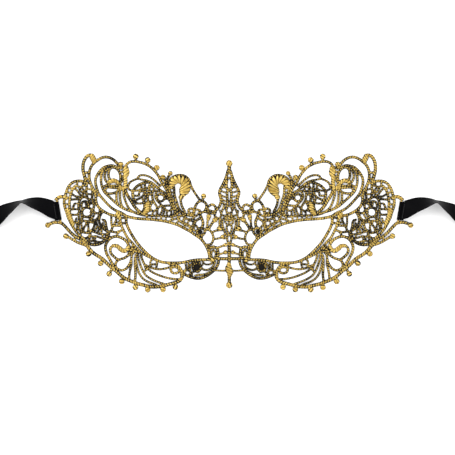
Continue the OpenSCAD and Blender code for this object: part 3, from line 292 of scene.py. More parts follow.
# A strand is [width, [points its middle passes through]] on the half x > 0.
# A satin column is a list of [x, y, width] down the middle of a lobe.
# A bead is [x, y, part of the bead radius].
FINIAL = [
  [2.2, [[0, 37.4], [0, 33]]],
  [1.7, [[0.9, 34], [1.7, 31], [2.6, 28.4], [3.7, 26], [4.7, 24], [5.8, 22], [6.4, 20], [6.1, 18],
    [5.5, 16], [5.4, 14], [5.9, 12], [6.8, 10.2], [8.2, 8.8]]],
  [1.5, [[-1.6, 29.2], [1.6, 29.2]]],
  [1.8, [[1.5, 29], [1.7, 26.5], [1.9, 24.5], [1.3, 22.4], [0, 21.4]]],
  [1.2, [[1.8, 23.8], [3.2, 23.2], [5, 23.4]]],
  [1.5, [[0.5, 21.6], [1.3, 20], [1.3, 17.5], [1.2, 15], [1.1, 12], [1.6, 10], [2, 8.6]]],
  [1.1, [[1.5, 19.8], [3.5, 20.2], [5.9, 21.2]]],
  [1.1, [[1.5, 17], [3.4, 17.2], [5.6, 18.4]]],
  [1.1, [[1.5, 14.4], [3.4, 14.6], [5.3, 16.3]]],
  [1.1, [[1.4, 12], [3.2, 12.6], [5.3, 13.8]]],
  [1.3, [[3.3, 12.8], [3.5, 10.6], [4.5, 8.2], [5.2, 6.4]]],
  [1.2, [[1.4, 9.4], [3.4, 9.8]]],
  [1, [[-0.9, 14.4], [0.9, 14.4]]],
  [1.2, [[-0.9, 11], [0.9, 11]]],
  [1.2, [[-1.6, 7], [0, 6.6], [1.6, 7]]],
  [1.2, [[2, 8.6], [1.6, 6.6], [1.3, 5], [2.1, 3.4], [1.3, 1.8], [0, 1.4]]],
  [2, [[0, 4.2], [0, 3]]],
  [1.2, [[1.4, 4.9], [3, 4.8], [4.6, 5.2]]],
  [1.3, [[5.8, 7.9], [5.3, 5.6], [5.7, 3.6], [6.4, 2]]],
  [1.2, [[2, 3.4], [3.4, 3.2], [4.4, 1.6], [4.5, -0.2]]],
]
STEM = [
  [1.2, [[0, -0.8], [1.5, -2], [1.6, -3.8], [1, -5.8], [0, -7.2]]],
  [1.4, [[4.5, 0.6], [4.3, -2], [3.3, -4.6], [2.5, -6.8], [1.2, -8.2], [0, -7.4]]],
  [1.1, [[0, 1.8], [0, -0.6]]],
  [1.1, [[2.4, 2.6], [2.6, 0.6], [1.4, -0.9]]],
  [1.2, [[1, -8], [1.4, -10], [1, -12], [0.5, -13.6]]],
  [1.9, [[0, -13.4], [0, -26]]],
  [1.3, [[0.8, -13.8], [2.6, -14.2], [4.8, -15], [7.4, -16]]],
  [1.1, [[1, -19], [2.6, -19], [4.6, -19.8], [7, -20.5]]],
  [1.9, [[0.8, -23.2], [6.9, -23.2]]],
  [1.1, [[1.6, -30.9], [5, -31], [9.6, -30.7]]],
  [1.9, [[0, -33], [0, -39]]],
]
NOSE_RIBS = [
  [1.6, [[7.6, 3.4], [9.4, 1.9], [11, 0], [12.3, -2], [13.6, -3.9], [15.2, -4.4]]],
  [1.3, [[5.7, 2.4], [6.4, 0.2], [6.2, -1.6], [7.4, -3.4]]],
  [1.3, [[4.4, -4.4], [7.5, -4.8], [9.4, -5.2], [11.2, -6.3]]],
  [1.4, [[13.8, -4.2], [12.4, -5], [11.3, -6.4], [10.6, -8], [10.3, -10], [10.8, -12], [12, -13.7],
    [15, -14.2]]],
  [1.2, [[2.6, -7], [3.6, -8.2], [4.8, -9.2], [6.6, -9.9], [10.4, -10.6]]],
  [1.2, [[1.4, -9.6], [4.2, -10]]],
]
CORNER_RING = [
  [1.8, [[14.4, -14.8], [12.2, -15.8], [9.8, -15.6], [7.8, -16.6], [7.3, -19], [7.4, -21.4],
    [8.4, -23], [10.4, -24], [12.6, -23.8]]],
  [1.5, [[12, -15.8], [12.9, -18], [12.7, -20], [12.3, -22], [12.8, -23.8]]],
  [1.2, [[10.2, -17.6], [9, -18.9], [8.8, -20.8], [9.7, -22.8], [11, -22.4], [11.6, -20.6],
    [11.3, -18.6], [10.2, -17.6]]],
]
CORNER_LEAF = [
  [1.7, [[6.8, -24], [7.2, -26.5], [8.2, -28.6], [9.8, -30.6], [12, -32.6], [14.5, -34.3],
    [17.5, -35.6], [20.5, -36], [23.5, -35.6], [26, -34.8], [28.5, -33.6], [30.6, -32.4]]],
  [1.3, [[9.2, -25.4], [10.5, -28.2], [12.5, -29.8], [14.9, -30.5], [17.1, -30], [18.3, -28.6],
    [18.9, -27], [19.4, -24.4]]],
  [1.1, [[10.4, -25.6], [12.6, -26.8], [15, -26.9], [16.7, -25.9], [17.4, -24.2]]],
  [1.1, [[16.7, -26], [17.9, -27.9]]],
  [1.3, [[9.4, -29.4], [12.5, -31.8], [15, -33], [18, -33.6], [20, -33.8], [22, -34.2]]],
  [1.3, [[19.2, -30.6], [20.4, -31.8], [22.4, -31.4], [24.2, -32.6], [24.2, -35]]],
  [1.6, [[18.6, -28.9], [19.2, -27], [21, -26.3], [22.9, -27], [23.6, -28.9], [22.8, -30.8],
    [21, -31.4], [19.3, -30.7], [18.6, -28.9]]],
  [1.3, [[20.6, -24.6], [23.4, -25.8], [25.2, -27.5], [25.6, -30], [25.2, -32.4], [26.6, -34.4]]],
  [1.1, [[26.4, -25], [26.5, -28], [26.8, -30.6], [25.4, -31.4]]],
  [1.2, [[28.4, -25.6], [28.2, -28.4], [28.4, -30.6], [29.4, -33]]],
  [1.1, [[26.6, -30.4], [28.8, -31.2]]],
]
NOSE_SCROLLS = [
  [1.5, [[8.6, 8.4], [9, 10.4], [10, 11.7], [11.5, 12], [13, 11.2], [14.8, 10.2]]],
  [1.4, [[7.6, 8.9], [10, 7.6], [12, 8], [14, 7.8], [15.6, 7.4], [18.4, 6.9]]],
  [1.2, [[8.7, 6.9], [10.6, 6.2], [13, 6.5], [15.6, 7.2]]],
  [1.4, [[8.9, 7.4], [9.4, 5], [8.6, 3.6], [7.4, 2.8]]],
  [1.3, [[13.4, 7.6], [13.9, 9.4], [15, 10.2]]],
  [1.6, [[16.4, 7.2], [15.2, 9], [14.8, 11], [15.4, 13], [17.2, 14.2], [19, 14.3], [20.6, 13.2],
    [21.8, 11.4], [22.6, 9.2]]],
  [1.5, [[16.7, 16.8], [17.6, 14.6]]],
  [1.4, [[18.8, 14.6], [20, 16.2], [21.4, 18.2], [22.8, 20.3], [24, 22.5], [25.2, 25]]],
  [1.3, [[13.9, 1.8], [14.2, 0], [14.3, -2], [15, -3.8]]],
  [1.7, [[18.6, 6.8], [18.7, 5], [17.9, 3], [17.2, 1], [17.2, -1.2], [18, -3.2]]],
  [1.6, [[18.6, 3.4], [20.2, 2.4], [21.8, 1.2], [22.6, -0.6]]],
  [1.2, [[19.2, 8.4], [19.8, 6.6], [21, 4.9], [22.4, 4.7], [22.8, 6.3], [22.2, 8.2], [20.8, 8.8],
    [19.2, 8.4]]],
  [1.5, [[24.8, 6.3], [23.3, 7], [23.2, 8.8], [24.8, 9.4], [26.3, 8.6], [26.2, 7], [24.8, 6.3]]],
  [1.9, [[22.8, 5.2], [25, 5], [27.2, 5.4], [29.4, 6], [31.4, 7.4], [33, 9.4]]],
  [1.1, [[22.4, 4.2], [24.2, 2.8], [26.9, 2.7], [29, 4.4], [30.4, 5.4]]],
  [1.2, [[23.3, 3.6], [22.8, 1.8], [23.4, 0], [23, -2], [23.2, -4.4]]],
  [1.1, [[24.2, 1.4], [26.2, 1.3], [26.9, -0.3], [25.6, -1.9], [24, -1.7], [23.4, -0.2]]],
  [1.3, [[26.8, 2.6], [29, 2.6], [29.4, 0.4], [27.4, -0.6]]],
  [1.5, [[29.2, 4.6], [29.3, 2.8], [30.2, 1.2], [32.2, 1.4], [32.6, 3.4], [31.4, 4.8], [29.4, 4.6]]],
  [1.2, [[25.6, -1.8], [28.6, -1.2], [31.4, 0.8]]],
  [1.6, [[18.6, -3.3], [16.6, -3.8], [15.8, -5.6], [16.8, -7.4], [18.8, -8], [20.5, -7],
    [20.7, -4.8], [18.6, -3.3]]],
  [1.3, [[20.2, -3.6], [21.6, -1.6], [23, -2.2]]],
  [1.3, [[20.8, -5.4], [23, -4.7], [25, -5]]],
  [1.3, [[17.4, -7.6], [18, -10]]],
  [1.2, [[15.2, -4.2], [16.4, -4]]],
]
PLUME = [
  [1.4, [[25, 24.4], [25.6, 27], [27, 29.3], [29.3, 30.8], [32, 31.3], [35, 30.7], [37.6, 29.1],
    [39.2, 26.8]]],
  [1.5, [[31.4, 18.6], [31.6, 15.4], [31.2, 12.6], [30.4, 10.2], [28.8, 7.4]]],
  [1.5, [[36.4, 26], [35.8, 22], [35.7, 19], [35.1, 16.4], [34.3, 14], [33.5, 11.4], [32.4, 8.6]]],
  [1.5, [[39.2, 27], [38.9, 23], [38.3, 19], [37.1, 15.8], [36.2, 12.8], [35.2, 10], [33.4, 8]]],
  [1.1, [[36.2, 24.4], [39, 25]]],
  [1.1, [[35.8, 22], [37.4, 22.6], [38.9, 22]]],
  [1.1, [[35.7, 19.6], [38.6, 20.2]]],
  [1.1, [[35.3, 17.2], [37.8, 17.8]]],
  [1.1, [[34.4, 14.2], [36.8, 15.2]]],
  [1.1, [[33.7, 12], [36, 12.4]]],
  [1.3, [[35.4, 10.4], [35, 7.4], [33.6, 6.2], [31.6, 7.4]]],
  [1.5, [[39.2, 30.9], [40.3, 28.6], [40.7, 26], [40.2, 23.4], [38.8, 21.2]]],
]
BROW_ARCH = [
  [1.6, [[38, 14.6], [39.4, 18.4], [41, 21.9], [43, 25], [44.6, 27.6], [46, 30.6], [48.3, 33.7],
    [51, 36.4], [54.3, 38.3], [57.4, 39.4], [61, 40], [64.3, 39.8], [66.6, 38.2], [67.4, 36]]],
  [1.4, [[60.8, 42.2], [60.8, 40.2]]],
  [1.4, [[53, 40], [53.6, 38]]],
  [1.4, [[47.5, 35], [48.6, 33.8]]],
  [1.2, [[42.2, 28.8], [41.9, 26.6], [42.6, 25]]],
  [1.2, [[44.1, 28.8], [44.4, 27.2]]],
]
BROW_VEIL = [
  [1.3, [[44.8, 24.4], [46.3, 25.6], [48.2, 27.5], [50.8, 29.5], [53.6, 30.8], [56.5, 31.2],
    [58.7, 30.6], [59.8, 28.9], [62, 28], [64.3, 26.6], [65.6, 24.4], [65.6, 22.4], [63.4, 21]]],
  [1.2, [[46.6, 22.8], [48.8, 25.2], [51.4, 26.9], [54.2, 27.8], [57, 28.3], [60, 28.8]]],
  [1.2, [[43.4, 25.4], [45, 24.2], [46.8, 23]]],
  [1.2, [[65.6, 24.6], [67.4, 24]]],
]
BROW_NET = [
  [1.5, [[47, 23.4], [44.5, 21.2], [42, 19.6], [40.3, 17], [38.8, 14.5], [37.3, 12], [36, 9.5],
    [35.6, 6.5], [36.8, 4.6]]],
  [1.7, [[47, 23.2], [48.6, 24.6], [50.5, 25.8], [52.5, 26.5], [54.6, 26.4], [57, 25.6],
    [59.3, 24.4], [61.3, 22.6], [62.6, 20.5], [62.8, 18], [62, 15.4], [60.4, 12.9]]],
  [1.5, [[44.6, 18.8], [42.7, 18], [42.2, 16.2], [43.2, 14.6], [45, 14.2], [46.6, 15.2],
    [46.9, 17.2], [45.8, 18.5], [44.6, 18.8]]],
  [1.3, [[44.8, 20.6], [46.6, 20.7], [47.7, 19.2], [48, 17], [47, 14.8], [45.4, 13], [43.6, 11.4]]],
  [1.2, [[42.3, 17.4], [41.2, 18.8]]],
  [1.2, [[42.4, 15.6], [40, 15.8]]],
  [1.3, [[46.6, 20.8], [48.8, 21.4], [49, 23.6]]],
  [1.4, [[48.8, 21.4], [50, 19.6], [50, 17.5], [49.7, 15.3], [48.8, 13.4], [47.4, 11.2]]],
  [1.5, [[51.4, 25.4], [52.3, 23], [51.7, 20.8], [52.6, 18.6], [53, 16.5], [52.8, 14.4], [52.8, 12.4]]],
  [1.4, [[54.9, 26], [54.8, 23.4], [54.6, 21], [55.4, 19], [56.6, 17.2], [58.4, 16], [60.4, 15.2],
    [61.8, 15.6]]],
  [1.3, [[57.4, 25.2], [57, 22.6], [57.5, 20.8], [58.6, 19.6], [58.8, 18], [61, 17.8], [62.6, 18]]],
  [1.2, [[49.4, 23.6], [52.2, 23], [54.8, 22.2], [57, 22.2], [59.5, 21.2], [62.2, 21]]],
  [1.2, [[49.2, 20.8], [51.6, 20.7], [54.8, 20.6], [57.5, 20.7]]],
  [1.2, [[50.2, 18.2], [52.5, 18.8], [55.3, 19]]],
  [1.3, [[49.6, 14.4], [52.6, 13.7], [55.4, 13.3], [58, 12.7], [60.6, 13]]],
  [1.2, [[54.2, 18.6], [54.7, 16], [55.5, 13.5]]],
  [1.2, [[56.6, 17], [56.2, 15.2], [55.6, 13.6]]],
  [1.3, [[55.4, 13.2], [55.3, 10.4], [56.2, 7.8], [57.6, 6.6]]],
  [1.4, [[36.6, 11.6], [39.6, 11.4], [42.6, 11.2], [44.8, 10.9], [46.2, 9.8], [46.8, 7.8], [46.6, 5.2]]],
  [1.2, [[43.2, 11], [43.5, 9.2], [44, 7.4], [45.2, 5]]],
  [1.3, [[47.4, 11.2], [47, 9.4], [48.6, 8], [50.5, 8.4], [51.4, 10], [50.8, 12], [49.8, 13.8]]],
  [1.2, [[47, 7], [47.3, 5.2]]],
  [1.2, [[48.6, 7.9], [49.7, 6.6], [49.8, 5]]],
  [1.2, [[50.2, 8.2], [51.6, 7.9], [53.4, 6.8], [53.6, 5.2]]],
  [1.2, [[37.4, 11.4], [37.8, 9], [39.2, 8], [40.7, 8.4], [41.9, 9.6], [42.4, 11]]],
  [1.2, [[36, 9], [37.8, 8.8]]],
  [1.2, [[38, 8.6], [37.6, 6.6], [38.4, 4.6]]],
  [1.2, [[40.2, 8.2], [40.6, 6.2], [40.2, 4.6]]],
  [1.2, [[41.9, 9.4], [42.4, 7], [43.2, 4.8]]],
  [1.4, [[33.6, 6], [35, 5], [37.6, 4.3], [41, 4.4], [45, 4.7], [49, 4.8], [53, 5], [57, 5.4],
    [61, 6.4]]],
]
SWEEPS = [
  [1.9, [[67.6, 22], [66.9, 19.6], [65.4, 16.8], [63.6, 14], [61.8, 11], [59.6, 8.6], [57, 6.4],
    [55.2, 5.4]]],
  [1.4, [[70.6, 22.2], [68.9, 21], [68.6, 18], [67.8, 15], [66.6, 12], [65.2, 9.6], [63, 7.7],
    [60.6, 6.6]]],
  [1.4, [[70.6, 22.4], [71.1, 20], [71.1, 17], [70.7, 14], [70, 11.6], [68.6, 9.7], [66.4, 8.5]]],
  [1.4, [[71.4, 22.2], [72.8, 20.4], [73.3, 18.8], [73.4, 17], [73.2, 14.4], [72.2, 12.2]]],
]
ROSE = [
  [1.6, [[70.9, 26.6], [70.7, 29.6], [71.4, 33], [73.4, 35.5], [76, 36.2], [77.8, 34.8],
    [78.5, 32], [78.2, 29.4], [77, 27.6]]],
  [1.6, [[70.4, 35.6], [72.8, 36.2], [76, 37.4], [79, 37.1], [81.6, 36.1], [84, 33.9], [86, 31],
    [87, 28], [86.8, 25], [86, 22], [85, 19.4], [83.3, 17], [81.1, 14.5], [78.6, 11.8],
    [75.8, 9.4], [73, 7.9], [70.4, 6.8], [67.4, 5]]],
  [1.4, [[78.2, 35.6], [80.2, 33.8], [81, 31], [80.8, 28.8], [79.8, 26.8], [78.2, 26]]],
  [1.5, [[80.4, 36], [82.3, 33.6], [83.2, 30.6], [83.4, 27.6], [83, 24.6], [82.2, 22], [80.8, 19.7],
    [78.5, 17.4], [75.7, 14.8], [72.9, 12.3], [70, 10.2], [66.4, 8.5], [62.4, 7.2], [59, 6.2]]],
  [1.2, [[81, 35.2], [83.6, 34]]],
  [1.2, [[82.8, 31.8], [85.4, 31.6]]],
  [1.4, [[70.6, 25], [73.4, 24.4], [76.2, 24.2], [79, 24.8], [82.2, 23.4]]],
  [1.4, [[71.6, 23.4], [73.4, 22.9], [76.4, 23], [79, 23.2], [80.6, 21.6], [80.2, 19.8]]],
  [1.5, [[71.6, 23.4], [72.4, 21], [74, 19.9], [76.4, 19.3], [78.4, 19.2], [80.4, 19.8]]],
  [1.2, [[69, 29.2], [69.8, 27.4], [71.4, 25]]],
  [1.3, [[69.2, 33.4], [71.2, 33.2]]],
  [1.3, [[69, 30.4], [70.8, 30.6]]],
  [1.3, [[67.4, 36.4], [69.4, 36.2], [71.4, 36.2]]],
  [1.4, [[70.5, 37.6], [70.8, 36]]],
]
TEMPLE_SCROLL = [
  [1.7, [[71.2, 36.4], [73, 39], [75.4, 41.3], [78.3, 42.7], [81.2, 42.9], [84, 41.9], [87, 39.8],
    [89.5, 37.2], [90.8, 34], [91.1, 31], [90.8, 28], [90, 25.4], [88.8, 22.8], [87.4, 20],
    [86.8, 17], [86.7, 14.6], [86, 12.2], [84.7, 10.1], [82.4, 8.1], [79.8, 6.6], [77, 5.4],
    [74, 4.8], [71, 4.4]]],
  [1.2, [[84.2, 18], [86.8, 17.6]]],
  [1.2, [[85.8, 21.2], [88, 21]]],
]
TEMPLE_LOOP = [
  [2, [[88.6, 43], [90.4, 44.2], [92.7, 43.2], [94.5, 40.2], [95.1, 37], [95, 34], [94.3, 31],
    [93.6, 28.6], [93, 26.2]]],
  [1.5, [[91, 33], [94.6, 32.6]]],
  [1.4, [[91, 29], [93.8, 28.4]]],
  [1.3, [[90.6, 26.2], [93.2, 25.8]]],
]
SHELL_RIM = [
  [1.7, [[92.8, 25.6], [95, 27], [97.6, 27.4], [100.3, 27.1], [102.6, 25.9], [104.4, 23.8],
    [105.6, 21.4], [106.3, 19], [107, 16.4], [107.4, 13.6], [107.1, 11.2], [106.4, 8.8],
    [105.6, 6.4], [104.8, 3.8], [103.6, 1.2], [102.3, -1.4], [100.8, -3.8], [99, -6.2],
    [97, -8.2], [94.8, -10], [93, -11.4]]],
  [1.6, [[99.4, 24.4], [101.6, 22.3], [102.8, 19.6], [103.5, 16.7], [103.9, 13.5], [103.8, 10.2],
    [103.6, 7.2]]],
  [1.2, [[101.6, 22.4], [104.8, 23]]],
  [1.2, [[102.9, 19.4], [105.9, 20.4]]],
  [1.2, [[103.6, 16], [106.8, 17.4]]],
  [1.2, [[103.8, 12.4], [107.2, 12]]],
  [1.2, [[98.8, 24.8], [99, 27]]],
]
SHELL_NET_UPPER = [
  [1.5, [[93, 26], [92.7, 23.6], [93, 21], [92.9, 18.8], [92.2, 16.4]]],
  [1.5, [[89.8, 24.6], [89.1, 21.8], [89, 18.8], [89.2, 15.8], [88.4, 13.4], [88, 11], [88.6, 8.8],
    [90, 7]]],
  [1.1, [[89.2, 21.8], [91, 22], [92.8, 22.6]]],
  [1.2, [[89, 18.7], [91, 18.8], [92.9, 19.2]]],
  [1.2, [[89.1, 15.4], [91, 15.6], [92.6, 16.4]]],
  [1.2, [[86.8, 15], [88.9, 15.2]]],
  [1.2, [[86.4, 12.2], [88.2, 12]]],
  [1.6, [[90.4, 12.4], [91, 14.8], [92.5, 16.4], [94.3, 17], [96, 16.4], [97.2, 14.8], [97.8, 12.5],
    [97.9, 10], [97.2, 7.6]]],
  [1.4, [[91.4, 10.2], [91.8, 13], [93.5, 14.2], [95.3, 13.6], [96.1, 11.8], [95.8, 10],
    [94.6, 9.4]]],
  [1.3, [[88.2, 13.2], [90.4, 12.6], [91.6, 12]]],
  [1.3, [[93.6, 14.2], [93.2, 12.2], [92.8, 10.2]]],
  [1.2, [[93, 24.4], [94.8, 24.2], [96.6, 23.6], [98.6, 23.9], [100.4, 24]]],
  [1.2, [[95.3, 24.1], [95, 26.6]]],
  [1.3, [[93, 21.2], [94.6, 20.8], [95.8, 20.2], [97, 21.4], [97.7, 23.6]]],
  [1.3, [[93, 19.2], [94.4, 19.6], [95.6, 18.2], [97, 18.6], [98.2, 20.2], [99.8, 22], [101.4, 22.6]]],
  [1.2, [[94.4, 21], [95.6, 22.6], [97.4, 23.4]]],
  [1.3, [[94.6, 17], [95.6, 18.2]]],
  [1.3, [[96.4, 16.4], [98, 17.2], [99.8, 17.4], [101.6, 18.4], [103, 18.8]]],
  [1.3, [[97.2, 15], [98.8, 15.5], [100.8, 15.4], [103.6, 15.2]]],
  [1.2, [[99, 15.6], [98.9, 17.2]]],
  [1.4, [[100.3, 12.8], [101, 11.6], [101.5, 10.2], [101.6, 8.9]]],
  [1.2, [[97.8, 8.8], [99.8, 9], [101.6, 8.9], [103.8, 9]]],
  [1.2, [[97.8, 12.4], [98.9, 12.6]]],
]
SHELL_NET_LOWER = [
  [1.6, [[92.6, 10.2], [90.4, 9.4], [89.5, 7.2], [90.3, 4.9], [92.6, 4], [94.9, 4.8], [95.7, 7],
    [94.8, 9.3], [92.6, 10.2]]],
  [1.3, [[97.3, 8.2], [98, 6.6], [97.8, 3.6], [98, 1], [99.4, 0.3], [101.8, 0.6]]],
  [1.3, [[98, 5.7], [100.2, 5.4], [103.4, 5.6]]],
  [1.2, [[99.6, 3.1], [99.8, 1.6], [100.6, 0.6]]],
  [1.2, [[95.6, 8.4], [96.3, 6.2], [96, 3.8], [96.6, 1.8], [98, 0.8]]],
  [1.3, [[90.4, 4.8], [90.8, 3], [90.6, 1.2], [92.6, 1.4], [95, 1.5], [96.8, 1.5]]],
  [1.2, [[94.6, 4.4], [95.6, 2.8], [96.6, 2]]],
  [1.3, [[91.2, 1.2], [91.7, -0.8], [91.5, -2.8], [91.8, -4.8], [92.2, -6.4]]],
  [1.3, [[93.3, 1.2], [93, -0.6], [94.2, -2.6], [94.8, -4.4], [95, -6]]],
  [1.2, [[95.2, 1.4], [96.4, -0.4], [95.9, -2], [96.1, -4], [96.3, -5.6]]],
  [1.4, [[98, 0.8], [97.8, -1.5], [98.1, -3.5], [97, -5.2]]],
  [1.2, [[99.2, 0.2], [98.9, -2.4], [99.1, -4.2], [100, -5]]],
  [1.5, [[90, -4.8], [92, -6.3], [94.6, -6], [97.2, -5.2]]],
  [1.3, [[90.4, -6.4], [91, -8.2], [92.9, -9.7], [95, -9.8]]],
  [1.2, [[96.2, -5.8], [96.8, -8]]],
  [1.4, [[89.5, 2.4], [87.9, 1.6], [87.6, 0], [87.9, -2], [88.8, -4], [90.2, -5.2], [90.3, -7.8],
    [91, -10.2], [92, -12.4]]],
  [1.5, [[87.8, 0.2], [89.6, 0.6], [91.2, 0.8]]],
  [1.4, [[84.4, 6.3], [87, 6.6], [89.6, 7.2]]],
  [1.3, [[88.6, 9], [87.6, 7]]],
  [1.3, [[84.3, 8.6], [84.4, 6.2], [85.2, 4], [86.4, 2.4], [87.8, 1.8]]],
  [1.2, [[87.4, 6.4], [88.2, 4.4], [89.8, 2.8]]],
  [1.5, [[82, 7.8], [83.4, 5.8], [84.3, 3.6], [84.6, 1.4], [84, -0.8], [82.8, -2.6], [81.2, -4.2],
    [79.4, -5.2]]],
  [1.6, [[82.2, 2], [81, 1.6], [80.3, 0], [80.1, -2], [79.6, -4], [79.1, -6.2]]],
  [1.3, [[82.3, 0], [82.1, -1.4], [81, -3.2]]],
  [1.3, [[86.2, 2.4], [86.4, 0.2], [85.6, -1.8], [84.2, -3.4], [83, -5.4], [84, -7]]],
  [1.9, [[78.8, -5.8], [79.6, -8.4], [80.9, -10.8], [82.8, -12.7], [85.2, -13.8], [87.7, -14.1],
    [90.2, -13.7], [92.6, -12.6]]],
  [1.3, [[79.6, -7.2], [82.4, -7.3], [84.8, -7], [86.6, -6.2], [88.6, -5.6], [90.2, -5.4]]],
  [1.3, [[80.8, -10], [83.6, -9.6], [86.6, -8.6], [88.4, -8.8], [90.5, -8.4]]],
  [1.2, [[84.4, -3.4], [85.2, -5.4], [84.8, -7]]],
  [1.2, [[82.4, -7.4], [82.3, -9.8]]],
  [1.2, [[86.8, -8.6], [87.2, -10.2], [87.3, -12], [87.4, -13.8]]],
  [1.2, [[82.8, -12.2], [85, -12.2], [87.3, -11.8], [89.3, -11.6], [91.6, -12]]],
  [1.2, [[88.6, -8.8], [88.8, -11.4]]],
  [1.3, [[85.8, -2.2], [87, -4.4], [88.4, -5.6]]],
  [1.2, [[86, -0.8], [87.8, -0.8]]],
]
TEMPLE_ARM = [
  [1.9, [[91.4, -14.4], [93.8, -12.6], [96.6, -10.6], [99.6, -9], [102.3, -6.9], [104.7, -4.4],
    [106.7, -2.2], [109, -0.2], [111.6, 0.4], [114.6, 0.2], [117.4, -1]]],
  [1.6, [[93.6, -14.4], [96.2, -13.6], [99, -12.4], [101.8, -10.8], [104, -9.4], [105.2, -8.8]]],
  [1.3, [[96.4, -10.8], [96.8, -13.2]]],
  [1.3, [[100, -9], [100.6, -11.6]]],
  [1.3, [[97.4, -7.9], [98.4, -9.6]]],
]
TEMPLE_HOOK = [
  [2.1, [[106.2, 16.2], [108.3, 17.1], [110.4, 16.9], [112.3, 15.5]]],
]
RIM_UPPER = [
  [1.7, [[12.8, -23.4], [12.9, -21.4], [13.3, -19.4], [14.2, -16.6], [15.8, -13.7], [17.8, -11],
    [20, -9.1], [23, -7.1], [26, -5.1], [28.6, -3.7], [31.4, -2.2], [34, -1], [37, 0], [41, 1],
    [45, 1.7], [50, 2.3], [55, 2.6], [60, 3], [64.4, 3.8], [68, 5], [71.4, 6.6]]],
  [1.2, [[22.8, -4.4], [25.6, -2.6], [28.6, -1], [31.6, 0.8], [33.2, 3], [33.8, 5.8]]],
  [1.1, [[25, -3], [26.2, -5]]],
  [1.1, [[28.8, -1], [29.4, -3.2]]],
  [1.2, [[32.4, 1.8], [34, 0.2], [34.2, -0.8]]],
  [1.2, [[33, 3], [35.2, 2.6], [37.6, 1.9], [39.6, 1]]],
  [1.2, [[36.8, 4.4], [37.4, 2]]],
  [1.1, [[41, 4.2], [41.4, 1.2]]],
  [1.1, [[44.2, 4.5], [44.4, 1.6]]],
  [1.1, [[47.4, 4.7], [47.4, 2]]],
  [1.1, [[50.4, 4.8], [50.4, 2.3]]],
  [1.1, [[53.6, 5], [53.4, 2.5]]],
]
RIM_LOWER = [
  [1.7, [[12.4, -23.7], [16, -23.8], [20, -23.9], [24, -24.3], [28, -25.2], [32, -25.8],
    [36, -25.9], [40, -25.8], [43.4, -25.4], [46.8, -24.3], [50, -22.6], [53, -20.2], [55.8, -17.5],
    [58.6, -14.5], [60.9, -11.5], [62.8, -8.5], [64.7, -5.2], [66.2, -2], [67, 1], [66.8, 4.4]]],
  [1.5, [[49.4, -23], [52.4, -21.9], [55.4, -20.3], [58.2, -18.2], [60.8, -15.6], [63.4, -12.6],
    [65.8, -10], [67.6, -7], [68.8, -4.4], [69.9, -2], [70.6, 0.6], [71.2, 4.2]]],
]
TEMPLE_KNOTS = [
  [1.4, [[69.8, -1.8], [72.6, -1.7], [75.4, -2], [76.3, -3.8], [77.2, -5.4], [79.4, -5.3]]],
  [1.4, [[69, -4.4], [71.2, -5.2], [73.6, -5.9], [77.4, -5.4]]],
  [1.3, [[71, -5.2], [72.6, -7], [73.4, -8.8]]],
  [1.3, [[76.8, 5.2], [76.7, 2.6], [76.7, 0], [76.2, -2.6]]],
  [1.3, [[73.8, 4.6], [73.6, 2], [74.4, 0], [75.4, -1.8]]],
  [1.2, [[70.8, 1.6], [72.2, 0.4], [74, 0.8]]],
  [1.2, [[66.9, 2.6], [68.8, 3.4], [71, 2.6]]],
  [1.3, [[67.2, -0.4], [68.6, 0], [70.4, -0.4]]],
  [1.2, [[71.6, 0.8], [71.8, -1.6]]],
  [1.4, [[78, -5.6], [78.4, -8], [80.2, -9.6]]],
  [1.5, [[76.4, -9.4], [78.2, -9.2], [80, -9.4]]],
]
CHEEK_CURL = [
  [1.7, [[65, -16.4], [65.6, -14], [66.8, -12], [68.8, -10.3], [71.6, -9], [74.6, -8.8],
    [77.2, -9.9], [79.2, -12], [80.4, -14.6], [80.5, -17], [79.7, -20], [78.3, -22.5], [77, -24.8],
    [75.8, -27], [74.8, -29.4]]],
  [1.6, [[75.6, -14.8], [77, -16], [77.4, -17.8], [76.8, -19.8], [75.4, -21.4], [73.6, -22.9],
    [72, -23.8]]],
  [1.5, [[64.2, -19.6], [66.2, -21.4], [68.4, -22.8], [71, -23.6], [73, -24.8], [73.9, -26.8],
    [73.6, -28.6], [72.2, -30], [69.8, -30.7], [67.6, -30], [65.8, -28.2], [64.5, -26], [63.8, -23.8]]],
  [1.3, [[78.4, -11.2], [80, -10.2]]],
  [1.3, [[73.6, -28.4], [75.6, -29.2]]],
  [1.3, [[64.4, -11.8], [66.8, -12]]],
]
RAY_KNOT = [
  [1.8, [[59.6, -16.4], [61.6, -16.2], [63.6, -17.4], [65, -19.4]]],
  [1.5, [[58.6, -19], [60.4, -18.5], [62.6, -18.8], [64.8, -20.4]]],
  [1.3, [[62.4, -13.8], [63.2, -15.6], [65.6, -15.8]]],
  [1.4, [[57.6, -18.8], [59.4, -19.6], [60.8, -21.2], [61.2, -23.8]]],
  [1.4, [[61.2, -16.4], [61.9, -18.6], [63.4, -20.6]]],
  [1.3, [[56.8, -19.6], [57.4, -21.4]]],
]
